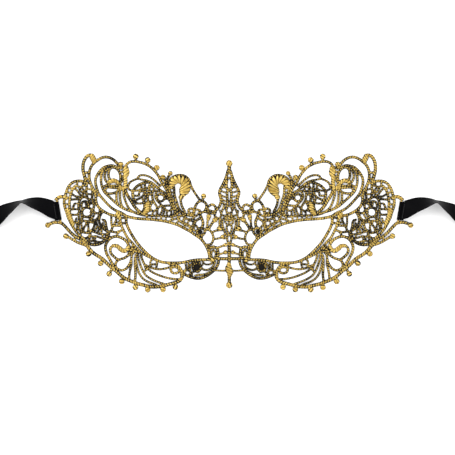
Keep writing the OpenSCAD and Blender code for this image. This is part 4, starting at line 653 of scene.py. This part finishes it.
RAYS = [
  [1.4, [[57.3, -20.6], [57, -22.4], [56, -25], [55, -27.3], [54.2, -29.6]]],
  [1.3, [[59.4, -20], [59.1, -23], [58.2, -26], [57.2, -28.8], [56, -31.5], [54.4, -33.8],
    [52, -35.6], [49, -37.2], [45.4, -38.6], [42, -39.7]]],
  [1.3, [[61, -23], [60.3, -26.5], [59.5, -29.8], [58.4, -33], [56.2, -36], [53.2, -38], [49.6, -39.4],
    [47, -40.4]]],
  [1.5, [[61.2, -23.4], [61.2, -27.5], [61.1, -31], [61, -34.5], [61.4, -38]]],
  [1.4, [[63.3, -20.4], [63.7, -23.4], [63.6, -26.4], [64.3, -30], [64.9, -33], [65.2, -36.6]]],
  [1.3, [[37, -28.2], [41, -29.4], [44.5, -30], [47.8, -29.8], [50.6, -29], [53, -28], [55, -27]]],
  [1.3, [[32.4, -36.6], [35, -36.4], [38, -36.1], [42, -35.2], [46, -33.8], [49, -32.5],
    [51.5, -31], [53, -29.2], [53, -28]]],
  [1.3, [[52, -28.4], [53.8, -30.2], [55.8, -31.8]]],
  [1.2, [[47.2, -24.6], [46.9, -27], [47.8, -29.6]]],
  [1.2, [[47, -26.8], [49.4, -26.8], [51, -27.4], [50.8, -29]]],
  [1.2, [[49.6, -23], [51.2, -25], [51.4, -27.6]]],
]
EDGE_SPIRAL = [
  [1.7, [[36.6, -26.4], [33.8, -27.6], [31.9, -29.4], [31, -31.6], [30.9, -34]]],
  [1.5, [[34.9, -28.5], [37, -28.9], [38, -30.5], [37, -32.2], [34.8, -32.6], [33, -31.8],
    [32.8, -29.8], [34.9, -28.5]]],
  [1.2, [[28.6, -31], [31, -31.2]]],
  [1.2, [[36.6, -26.8], [38.2, -27.2], [39.6, -26]]],
]
LOWER_EDGE = [
  [2.1, [[30.9, -33], [30.8, -35.2], [32.2, -37.4], [34.9, -38.7], [38, -39.5], [41.8, -40.5],
    [45.2, -41.2], [49, -41.5], [52.4, -41.1], [55.8, -40.3], [59, -39.5], [62.4, -38.3],
    [65.7, -37], [68.6, -35.4], [71.2, -33.4], [73.6, -31.2], [76, -29.3], [78.4, -27.3],
    [80.8, -24.8], [83.4, -22.6], [86.2, -20.9], [88.8, -19], [90.9, -16.8], [92.6, -14.8],
    [94.6, -13]]],
  [1.5, [[35, -40.4], [35, -38.8]]],
  [1.5, [[43, -42], [43, -40.8]]],
  [1.5, [[53, -42], [52.8, -41]]],
  [1.5, [[61, -40.4], [61, -38.8]]],
  [1.5, [[69.4, -37], [68.6, -35.4]]],
  [1.5, [[77.6, -32.2], [76.2, -29.8]]],
  [1.5, [[83.2, -25.2], [82.4, -23.6]]],
  [1.5, [[90.8, -19.4], [89.6, -18.2]]],
]
FINIAL_BEADS = [[0, 38.8, 1.15]]
STEM_BEADS = [[0, -40.3, 1.15], [2.5, -14.2, 0.7], [2.5, -19, 0.75]]
RIB_BEADS = [[6, -3.8, 0.85], [4.3, -9, 0.75], [9.3, 2, 0.9]]
CORNER_BEADS = [[11, -24, 0.9]]
SCROLL_BEADS = [[16.6, 17.6, 0.9], [13.3, 4.4, 0.85], [13.6, 2.8, 0.7]]
PLUME_BEADS = [[31.3, 16.9, 0.95], [38.3, 32.4, 0.8]]
ARCH_BEADS = [[60.8, 43.3, 1], [53, 41, 1], [47.1, 36, 1], [43.1, 29.7, 0.95]]
ROSE_BEADS = [[70.5, 38.3, 0.9]]
ARM_BEADS = [[118, -1.4, 0.95], [106.2, -8.5, 1]]
EDGE_BEADS = [[35, -41.6, 1], [43, -43.2, 1], [53, -43.3, 1], [61, -41.8, 1], [69.9, -37.9, 1],
  [78.1, -33, 1], [83.7, -26.2, 1], [91.5, -20, 1]]
PENDANT = [[0, -26, 2], [0, -28, 3.2], [0, -30.4, 4.8], [0, -32.6, 3.6], [0, -34.4, 2.2]]
PLUME_SATIN = [
  [[30, 18.6, 3.6], [29, 20.6, 6], [29, 23.6, 6.8], [30, 26.6, 6], [32.6, 28, 5.4], [35.4, 27.2, 5.2],
    [37, 25, 3.6], [37.4, 23.4, 2.2]],
]
BROW_NET_SATIN = [[[53.2, 12.2, 3], [53.5, 10.4, 3], [53.6, 8.4, 3], [55, 6.4, 2.4]]]
ROSE_SATIN = [
  [[67.7, 30.4, 2.4], [67.5, 26.6, 2.4], [68.2, 22.8, 2.4], [70.8, 23.6, 2]],
  [[66.8, 31.9, 4], [67.4, 34.7, 4]],
  [[72.4, 26.4, 2.6], [75, 27.6, 2.6], [77.8, 26.8, 2.6]],
]
TEMPLE_LOOP_SATIN = [[[88, 41, 3.4], [89.2, 43, 3.4]]]
SHELL_RIM_SATIN = [[[105, 8.4, 2.6], [103.9, 5, 2.6], [102.9, 2, 2.6], [101.5, -1, 2.2]]]
TEMPLE_KNOTS_SATIN = [[[71.4, 3.6, 2.8], [72.8, 5.6, 2.8]]]
CHEEK_CURL_SATIN = [
  [[65.6, -15.2, 2.2], [66.6, -17.2, 2.6], [68.8, -17.9, 2.8], [71, -16.6, 2.8], [73, -15, 2.4],
    [75.2, -14.7, 2]],
]

# A dark bead has 1 or more as its last value, a gold one less.

def gold_beads(beads):
    return [(x, y, part, BEAD_INK) for x, y, part in beads]


# beads of bare black thread: x, y, part of the bead radius, share of black
DARK_EYE = (18.6, -5.7, 0.7, 6.0)
DARK_KNOT = (21, -28.8, 1.1, 6.0)
# node, its strand lists, height, share of black thread, satin columns, beads
MOTIFS = [
    ("nose_ribs", [NOSE_RIBS], CORD_H, 0.8, [], gold_beads(RIB_BEADS)),
    ("eye_corner_ring", [CORNER_RING], CORD_H, 0.85, [], gold_beads(CORNER_BEADS)),
    ("eye_corner_leaf", [CORNER_LEAF], CORD_H, 1.1, [], [DARK_KNOT]),
    ("nose_scrolls", [NOSE_SCROLLS], CORD_H, 0.85, [], gold_beads(SCROLL_BEADS) + [DARK_EYE]),
    ("brow_plume", [PLUME], CORD_H, 0.9, PLUME_SATIN, gold_beads(PLUME_BEADS)),
    ("brow_arch", [BROW_ARCH], CORD_H, 0.7, [], gold_beads(ARCH_BEADS)),
    ("brow_veil", [BROW_VEIL], NET_H, 0.9, [], []),
    ("brow_net", [BROW_NET], NET_H, 1.1, BROW_NET_SATIN, []),
    ("brow_sweeps", [SWEEPS], CORD_H, 0.7, [], []),
    ("rose_curl", [ROSE], CORD_H, 0.8, ROSE_SATIN, gold_beads(ROSE_BEADS)),
    ("temple_scroll", [TEMPLE_SCROLL], CORD_H, 0.8, [], []),
    ("temple_loop", [TEMPLE_LOOP], CORD_H, 0.65, TEMPLE_LOOP_SATIN, []),
    ("shell_rim", [SHELL_RIM], CORD_H, 0.65, SHELL_RIM_SATIN, []),
    ("shell_net_upper", [SHELL_NET_UPPER], NET_H, 1.15, [], []),
    ("shell_net_lower", [SHELL_NET_LOWER], NET_H, 1.15, [], []),
    ("ribbon_arm", [TEMPLE_ARM], CORD_H, 0.65, [], gold_beads(ARM_BEADS)),
    ("ribbon_hook", [TEMPLE_HOOK], CORD_H, 0.4, [], []),
    ("eye_rim_upper", [RIM_UPPER], CORD_H, 0.65, [], []),
    ("eye_rim_lower", [RIM_LOWER], CORD_H, 0.65, [], []),
    ("temple_knots", [TEMPLE_KNOTS], NET_H, 1.0, TEMPLE_KNOTS_SATIN, []),
    ("cheek_curl", [CHEEK_CURL], CORD_H, 0.7, CHEEK_CURL_SATIN, []),
    ("feather_rays", [RAY_KNOT, RAYS], CORD_H, 0.85, [], []),
    ("lower_edge", [LOWER_EDGE, EDGE_SPIRAL], CORD_H, 0.6, [], gold_beads(EDGE_BEADS)),
]


def dome_section():
    """Share of the half width, share of the height and place across, round a strand's section."""
    lean = np.radians(np.linspace(-90, 90, 9))
    top = [(math.sin(a), 0.24 + 0.76 * math.cos(a) ** 0.8, math.sin(a)) for a in lean]
    # Across values near 1 at the sides give the dark painted-shade rim in the gold material; the bottom
    # points, past 1, are the black back thread.
    return np.array(top + [(0.86, 0.02, 1.3), (0.0, 0.02, 1.5), (-0.86, 0.02, -1.3)])


SECTION = dome_section()
VALLEY = np.array([1.0, 0.0, 0.42, 0.0])   # depth of the valley at each ring of a stitch group


def add_column(work, rows, height, ink, seed):
    """A satin-stitched column down the middle of rows of x, y, width."""
    line = smooth_curve(rows, 10)
    at = lengths_along(line[:, :2])
    reach = 0.45 * line[[0, -1], 2]
    ends = tangents(line[:, :2])[[0, -1]] * reach[:, None] * [[-1], [1]]
    first, last = [*(line[0, :2] + ends[0]), line[0, 2]], [*(line[-1, :2] + ends[1]), line[-1, 2]]
    line = np.vstack([first, line, last])
    at = np.concatenate([[0], at + reach[0], [at[-1] + reach.sum()]])
    groups = max(2, round(at[-1] / STITCH))
    steps = np.arange(groups * RINGS_PER_STITCH + 1)
    spot = sampled(line, at, at[-1] * steps / steps[-1])
    ahead = tangents(spot[:, :2])
    aside = np.column_stack([-ahead[:, 1], ahead[:, 0]])
    half = spot[:, 2] / 2
    to_end = np.minimum(steps, steps[-1] - steps) / steps[-1] * at[-1]
    full = np.sqrt(np.clip(1 - (1 - np.clip(to_end / half, 0.06, 1)) ** 2, 0, 1))
    valley = VALLEY[steps % RINGS_PER_STITCH]
    valley[[0, -1]] = 0.3
    u, v, across = SECTION.T
    pinch = 1 - 0.13 * valley
    side = (half * full * pinch)[:, None] * u
    lean = (SLANT * half * full)[:, None] * u
    tall = (height * (0.45 + 0.55 * full) * (1 - 0.2 * valley))[:, None] * v
    flat = spot[:, None, :2] + aside[:, None] * side[..., None] + ahead[:, None] * lean[..., None]
    points = np.concatenate([flat, tall[..., None]], axis=-1).reshape(-1, 3)
    notes = np.stack(np.broadcast_arrays((steps / RINGS_PER_STITCH)[:, None] + seed * PHASE_STEP,
                                         across[None], ink), axis=-1)
    work.add(points, tube_faces(len(steps), len(u)), notes.reshape(-1, 3))


def add_bead(work, x, y, radius, ink, seed):
    """A round padded dot, stitched over with parallel wraps."""
    lean = np.radians(15 + 140 * seed)
    turns = np.radians(np.arange(0, 360, 15))
    shells = [(0.8, 0.03), (0.97, 0.16), (1.0, 0.34), (0.96, 0.56), (0.84, 0.76), (0.64, 0.9),
              (0.4, 0.97), (0.16, 1.0)]
    points, notes = [], []
    for share, tall in shells:
        px, py = radius * share * np.cos(turns), radius * share * np.sin(turns)
        run = (px * math.cos(lean) + py * math.sin(lean)) / (STITCH * 0.5)
        ridge = 0.05 * np.cos(2 * math.pi * run) * (tall > 0.3)
        # The place across rises towards the bead's rim, so the gold material blackens the rim: painted
        # shade, a dark outline. The bottom ring (1.4) is the black back thread.
        low = 1.4 if tall < 0.1 else share ** 2
        points += list(zip(x + px, y + py, BEAD_H * tall + ridge))
        notes += [(r / 2 + seed * PHASE_STEP, low, ink) for r in run]
    work.add(points, tube_faces(len(shells), len(turns)), notes)


GOLDEN = 0.6180339887   # steps of the golden section spread the seeds evenly


def strand_seed(k):
    """A repeatable number from 0 to 1 for the k-th strand."""
    return math.fmod(k * GOLDEN, 1.0)


def own_mirror(points):
    """True for a strand that is its own mirror image across X = 0."""
    row = [tuple(point) for point in points]
    flipped = [(-x, *rest) for x, *rest in row]
    return flipped == row or flipped[::-1] == row


def make_motif(lists, height, ink, satin, beads, sides, k):
    cords = [[(x, y, width) for x, y in points] for strands in lists for width, points in strands]
    work = Patchwork()
    for side in sides:
        for i, column in enumerate(cords + satin):
            k += 1
            if side > 0 or not own_mirror(column):
                seed = strand_seed(k)
                rows = [(side * x, y, width * WIDTH_GAIN) for x, y, width in column]
                cord = (height * (0.94 + 0.1 * seed), ink)
                add_column(work, rows, *(cord if i < len(cords) else (SATIN_H, SATIN_INK)), seed)
        for x, y, part, dark in beads:
            k += 1
            if side > 0 or x:
                add_bead(work, side * x, y, BEAD_R * part, dark, strand_seed(k))
    return work


def finish_lace(work, node, mirrored, material):
    piece = work.piece("lace_" + node, mirrored, material)
    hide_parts(node)
    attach(piece, "lace")
    return piece


def make_bar(mirrored, material):
    """The bundle of wrapped threads that the ribbon turns on, and the knots that carry its ends."""
    work = Patchwork()
    angles = np.radians(np.arange(0, 360, 30))
    at = np.arange(0.0, BAR_LENGTH, STITCH / RINGS_PER_STITCH)
    steps = np.arange(len(at))
    radius = BAR_D / 2 * (1 - 0.12 * VALLEY[steps % RINGS_PER_STITCH])
    middle = BAR_LOW + at[:, None] * ALONG_BAR
    flat = middle[:, None] + (radius[:, None] * np.cos(angles))[..., None] * OUTWARD
    tall = BAR_Z + radius[:, None] * np.sin(angles)
    points = np.concatenate([flat, tall[..., None]], axis=-1).reshape(-1, 3)
    phase = (steps / RINGS_PER_STITCH)[:, None]
    notes = np.stack(np.broadcast_arrays(phase, 0.2 * np.sin(angles)[None], 0.7), axis=-1)
    work.add(points, tube_faces(len(at), len(angles)), notes.reshape(-1, 3))
    for x, y in (BAR_LOW, BAR_HIGH):
        add_bead(work, x, y, 1.0, 0.4, 0.3)
    return finish_lace(work, "ribbon_bar_" + side_name(mirrored), mirrored, material)


def make_lace(material):
    for node, strands, columns, beads in (("forehead_finial", FINIAL, [], FINIAL_BEADS),
                                          ("nose_stem", STEM, [PENDANT], STEM_BEADS)):
        work = make_motif([strands], CORD_H, 0.8, columns, gold_beads(beads), (1, -1), 0)
        finish_lace(work, node, False, material)
    for mirrored in (True, False):
        for node, lists, height, ink, columns, beads in MOTIFS:
            work = make_motif(lists, height, ink, columns, beads, (1,), LEFT_SEEDS if mirrored else 0)
            finish_lace(work, node + "_" + side_name(mirrored), mirrored, material)
        make_bar(mirrored, material)

# ---------------- materials

class Nodes:
    """Short names for building a material's node tree."""

    def __init__(self, name):
        self.material = bpy.data.materials.new(name)
        self.material.use_nodes = True
        self.tree = self.material.node_tree
        self.shader = self.tree.nodes["Principled BSDF"]

    def add(self, kind, inputs=(), **settings):
        node = self.tree.nodes.new(kind)
        for key, value in settings.items():
            setattr(node, key, value)
        for key, value in dict(inputs).items():
            self.set(node.inputs[key], value)
        return node

    def set(self, socket, value):
        if isinstance(value, bpy.types.NodeSocket):
            self.tree.links.new(value, socket)
        else:
            socket.default_value = value

    def maths(self, operation, *values, clamp=False):
        node = self.add("ShaderNodeMath", operation=operation, use_clamp=clamp)
        for socket, value in zip(node.inputs, values):
            self.set(socket, value)
        return node.outputs[0]

    def ramp(self, value, low, high):
        """0 below low, 1 above high, smooth between."""
        return self.add("ShaderNodeMapRange", {"Value": value, "From Min": low, "From Max": high},
                        interpolation_type="SMOOTHSTEP").outputs[0]

    def mix(self, share, a, b):
        return self.add("ShaderNodeMix", {0: share, 6: a, 7: b}, data_type="RGBA").outputs[2]

    def noise(self, vector, scale, detail=2.0, rough=0.5):
        return self.add("ShaderNodeTexNoise", {"Vector": vector, "Scale": scale, "Detail": detail,
                                               "Roughness": rough}).outputs["Fac"]

    def vector(self, x, y, z):
        return self.add("ShaderNodeCombineXYZ", {"X": x, "Y": y, "Z": z}).outputs[0]

    def split(self, vector):
        return self.add("ShaderNodeSeparateXYZ", {"Vector": vector}).outputs

    def attribute(self, name):
        return self.add("ShaderNodeAttribute", attribute_name=name).outputs["Vector"]

    def bump(self, height, strength, distance):
        return self.add("ShaderNodeBump", {"Height": height, "Strength": strength,
                                           "Distance": distance}).outputs[0]

    def finish(self, **sockets):
        for name, value in sockets.items():
            self.set(self.shader.inputs[name.replace("_", " ")], value)
        return self.material


def gold_thread():
    """Metallic gold wraps over black thread, with the black showing in gaps that widen to the edges. The
    black along each strand's sides is partly black thread and partly painted shade, a dark outline; the
    underside is black thread.
    """
    n = Nodes("gold_thread")
    along, across, ink = n.split(n.attribute("thread"))
    place = n.add("ShaderNodeTexCoord").outputs["Object"]
    out = n.maths("ABSOLUTE", across)
    stitch = n.maths("FLOOR", n.maths("ADD", along, 0.5))
    to_gap = n.maths("MULTIPLY", n.maths("ABSOLUTE", n.maths("SUBTRACT", along, stitch)), 2.0)
    luck = n.add("ShaderNodeTexWhiteNoise", {"W": stitch}, noise_dimensions="1D").outputs["Value"]
    fray = n.noise(place, 1500.0, 3.0, 0.6)
    dense = n.maths("MULTIPLY_ADD", n.noise(place, 110.0, 2.0), 2.1, 0.1)
    # The black gaps widen towards the strand's sides: partly black thread, partly painted shade of the
    # dark outline round a rounded strand.
    wide = n.maths("MULTIPLY_ADD", n.maths("POWER", out, 1.2), 1.05, 0.36)
    wide = n.maths("MULTIPLY", wide, n.maths("MULTIPLY", ink, n.maths("MULTIPLY_ADD", luck, 1.4, 0.5)))
    wide = n.maths("MULTIPLY", wide, dense)
    wide = n.maths("MULTIPLY_ADD", n.maths("SUBTRACT", fray, 0.5), 0.6, wide)
    gap = n.ramp(n.maths("SUBTRACT", wide, to_gap), -0.06, 0.06)
    # Painted shade: the sides of each strand (across near 1) are blackened as the dark outline that shade
    # gives them; past 1, on the underside, this is the black back thread.
    rim_shade_and_black_back = n.ramp(n.maths("MULTIPLY_ADD", n.maths("SUBTRACT", fray, 0.5), 0.9, out), 0.92, 1.06)
    black = n.maths("MAXIMUM", gap, rim_shade_and_black_back)
    flow = n.vector(n.maths("MULTIPLY", along, 9.0), n.maths("MULTIPLY", across, 0.9), ink)
    strands = n.noise(flow, 1.0, 3.0)
    worn = n.noise(place, 260.0, 3.0, 0.6)
    shade = n.maths("MULTIPLY_ADD", strands, 0.9, -0.05)
    shade = n.maths("MULTIPLY_ADD", n.maths("SUBTRACT", luck, 0.5), 0.35, shade)
    shade = n.maths("MULTIPLY_ADD", n.maths("SUBTRACT", worn, 0.5), 0.8, shade, clamp=True)
    gold = n.mix(shade, (0.26, 0.15, 0.021, 1), (0.94, 0.69, 0.205, 1))
    colour = n.mix(black, gold, n.mix(fray, (0.002, 0.0018, 0.0015, 1), (0.010, 0.008, 0.005, 1)))
    relief = n.maths("MULTIPLY_ADD", black, -0.6, strands)
    rough = n.maths("MULTIPLY_ADD", black, 0.3, n.maths("MULTIPLY_ADD", strands, 0.25, 0.26))
    return n.finish(Base_Color=colour, Metallic=n.maths("MULTIPLY_ADD", black, -0.75, 0.75),
                    Roughness=rough,
                    Normal=n.bump(relief, 0.5, 0.00012), Specular_IOR_Level=0.1)


def black_satin():
    """Black satin: long floats along the ribbon, fine ribs across it, a firmer selvedge."""
    n = Nodes("black_satin")
    along, across, _ = n.split(n.attribute("thread"))
    out = n.maths("ABSOLUTE", across)
    flow = n.vector(n.maths("MULTIPLY", along, 0.5), n.maths("MULTIPLY", across, 34.0), 0.0)
    floats = n.noise(flow, 1.0, 3.0)
    ribs = n.maths("SINE", n.maths("MULTIPLY", along, 2 * math.pi / 0.42))
    selvedge = n.ramp(out, 0.9, 0.95)
    loops = n.maths("MULTIPLY", n.maths("SINE", n.maths("MULTIPLY", along, 2 * math.pi / 0.7)), selvedge)
    weave = n.maths("MULTIPLY_ADD", ribs, 0.12, floats)
    relief = n.maths("ADD", weave, n.maths("MULTIPLY", loops, 0.5))
    soft = n.noise(n.vector(n.maths("MULTIPLY", along, 0.08), across, 0.0), 1.0, 2.0)
    shade = n.maths("MULTIPLY_ADD", floats, 0.8, n.maths("MULTIPLY_ADD", ribs, 0.08, -0.05), clamp=True)
    rough = n.maths("MULTIPLY_ADD", selvedge, 0.14, n.maths("MULTIPLY_ADD", soft, 0.2, 0.3))
    return n.finish(Base_Color=n.mix(shade, (0.001, 0.001, 0.0012, 1), (0.005, 0.005, 0.006, 1)),
                    Roughness=rough,
                    Normal=n.bump(relief, 0.35, 0.00008), Specular_IOR_Level=0.015,
                    Sheen_Weight=0.003, Sheen_Roughness=0.35)


def black_thread():
    n = Nodes("black_thread")
    along, _, _ = n.split(n.attribute("thread"))
    place = n.add("ShaderNodeTexCoord").outputs["Object"]
    fuzz = n.noise(place, 4000.0, 2.0)
    ply = n.maths("SINE", n.maths("MULTIPLY", along, 2 * math.pi / 0.3))
    relief = n.maths("MULTIPLY_ADD", ply, 0.5, fuzz)
    return n.finish(Base_Color=n.mix(fuzz, (0.006, 0.006, 0.006, 1), (0.03, 0.03, 0.032, 1)),
                    Roughness=n.maths("MULTIPLY_ADD", fuzz, 0.2, 0.5), Normal=n.bump(relief, 0.5, 0.00006))


def paper_floor():
    n = Nodes("white_paper")
    place = n.add("ShaderNodeTexCoord").outputs["Object"]
    grain = n.noise(place, 900.0, 3.0)
    return n.finish(Base_Color=n.mix(grain, (0.93, 0.93, 0.93, 1), (0.96, 0.96, 0.96, 1)), Roughness=0.9,
                    Specular_IOR_Level=0.0)

# ---------------- floor and light

def make_floor(material):
    corners = [(-3.0, -3.0, 0), (3.0, -3.0, 0), (3.0, 3.0, 0), (-3.0, 3.0, 0)]
    mesh = bpy.data.meshes.new("floor")
    mesh.from_pydata(corners, [], [[0, 1, 2, 3]])
    mesh.materials.append(material)
    floor = bpy.data.objects.new("floor", mesh)
    floor.location.z = -0.1 * MM
    bpy.context.scene.collection.objects.link(floor)


def add_light(name, place, size, power):
    data = bpy.data.lights.new(name, "AREA")
    data.size = size
    data.energy = power
    light = bpy.data.objects.new(name, data)
    light.location = place
    light.rotation_euler = (-Vector(place)).to_track_quat("-Z", "Y").to_euler()
    bpy.context.scene.collection.objects.link(light)


def make_light():
    world = bpy.data.worlds.new("studio")
    bpy.context.scene.world = world
    world.use_nodes = True
    world.node_tree.nodes["Background"].inputs[0].default_value = (1.0, 1.0, 1.0, 1)
    world.node_tree.nodes["Background"].inputs[1].default_value = 1.05
    add_light("key", (-0.7, 0.6, 0.9), 0.9, 11.0)
    add_light("fill", (0.9, 0.2, 0.8), 1.0, 5.0)
    add_light("front", (0.1, -0.9, 0.8), 1.0, 4.5)
    bpy.context.scene.view_settings.view_transform = "Standard"

# ---------------- the mask


gold = gold_thread()
satin = black_satin()
thread = black_thread()
for mirrored in (True, False):
    tack = make_tack(mirrored, thread)
    ribbon, path, length = make_ribbon(mirrored, satin)
make_lace(gold)
make_floor(paper_floor())
make_light()
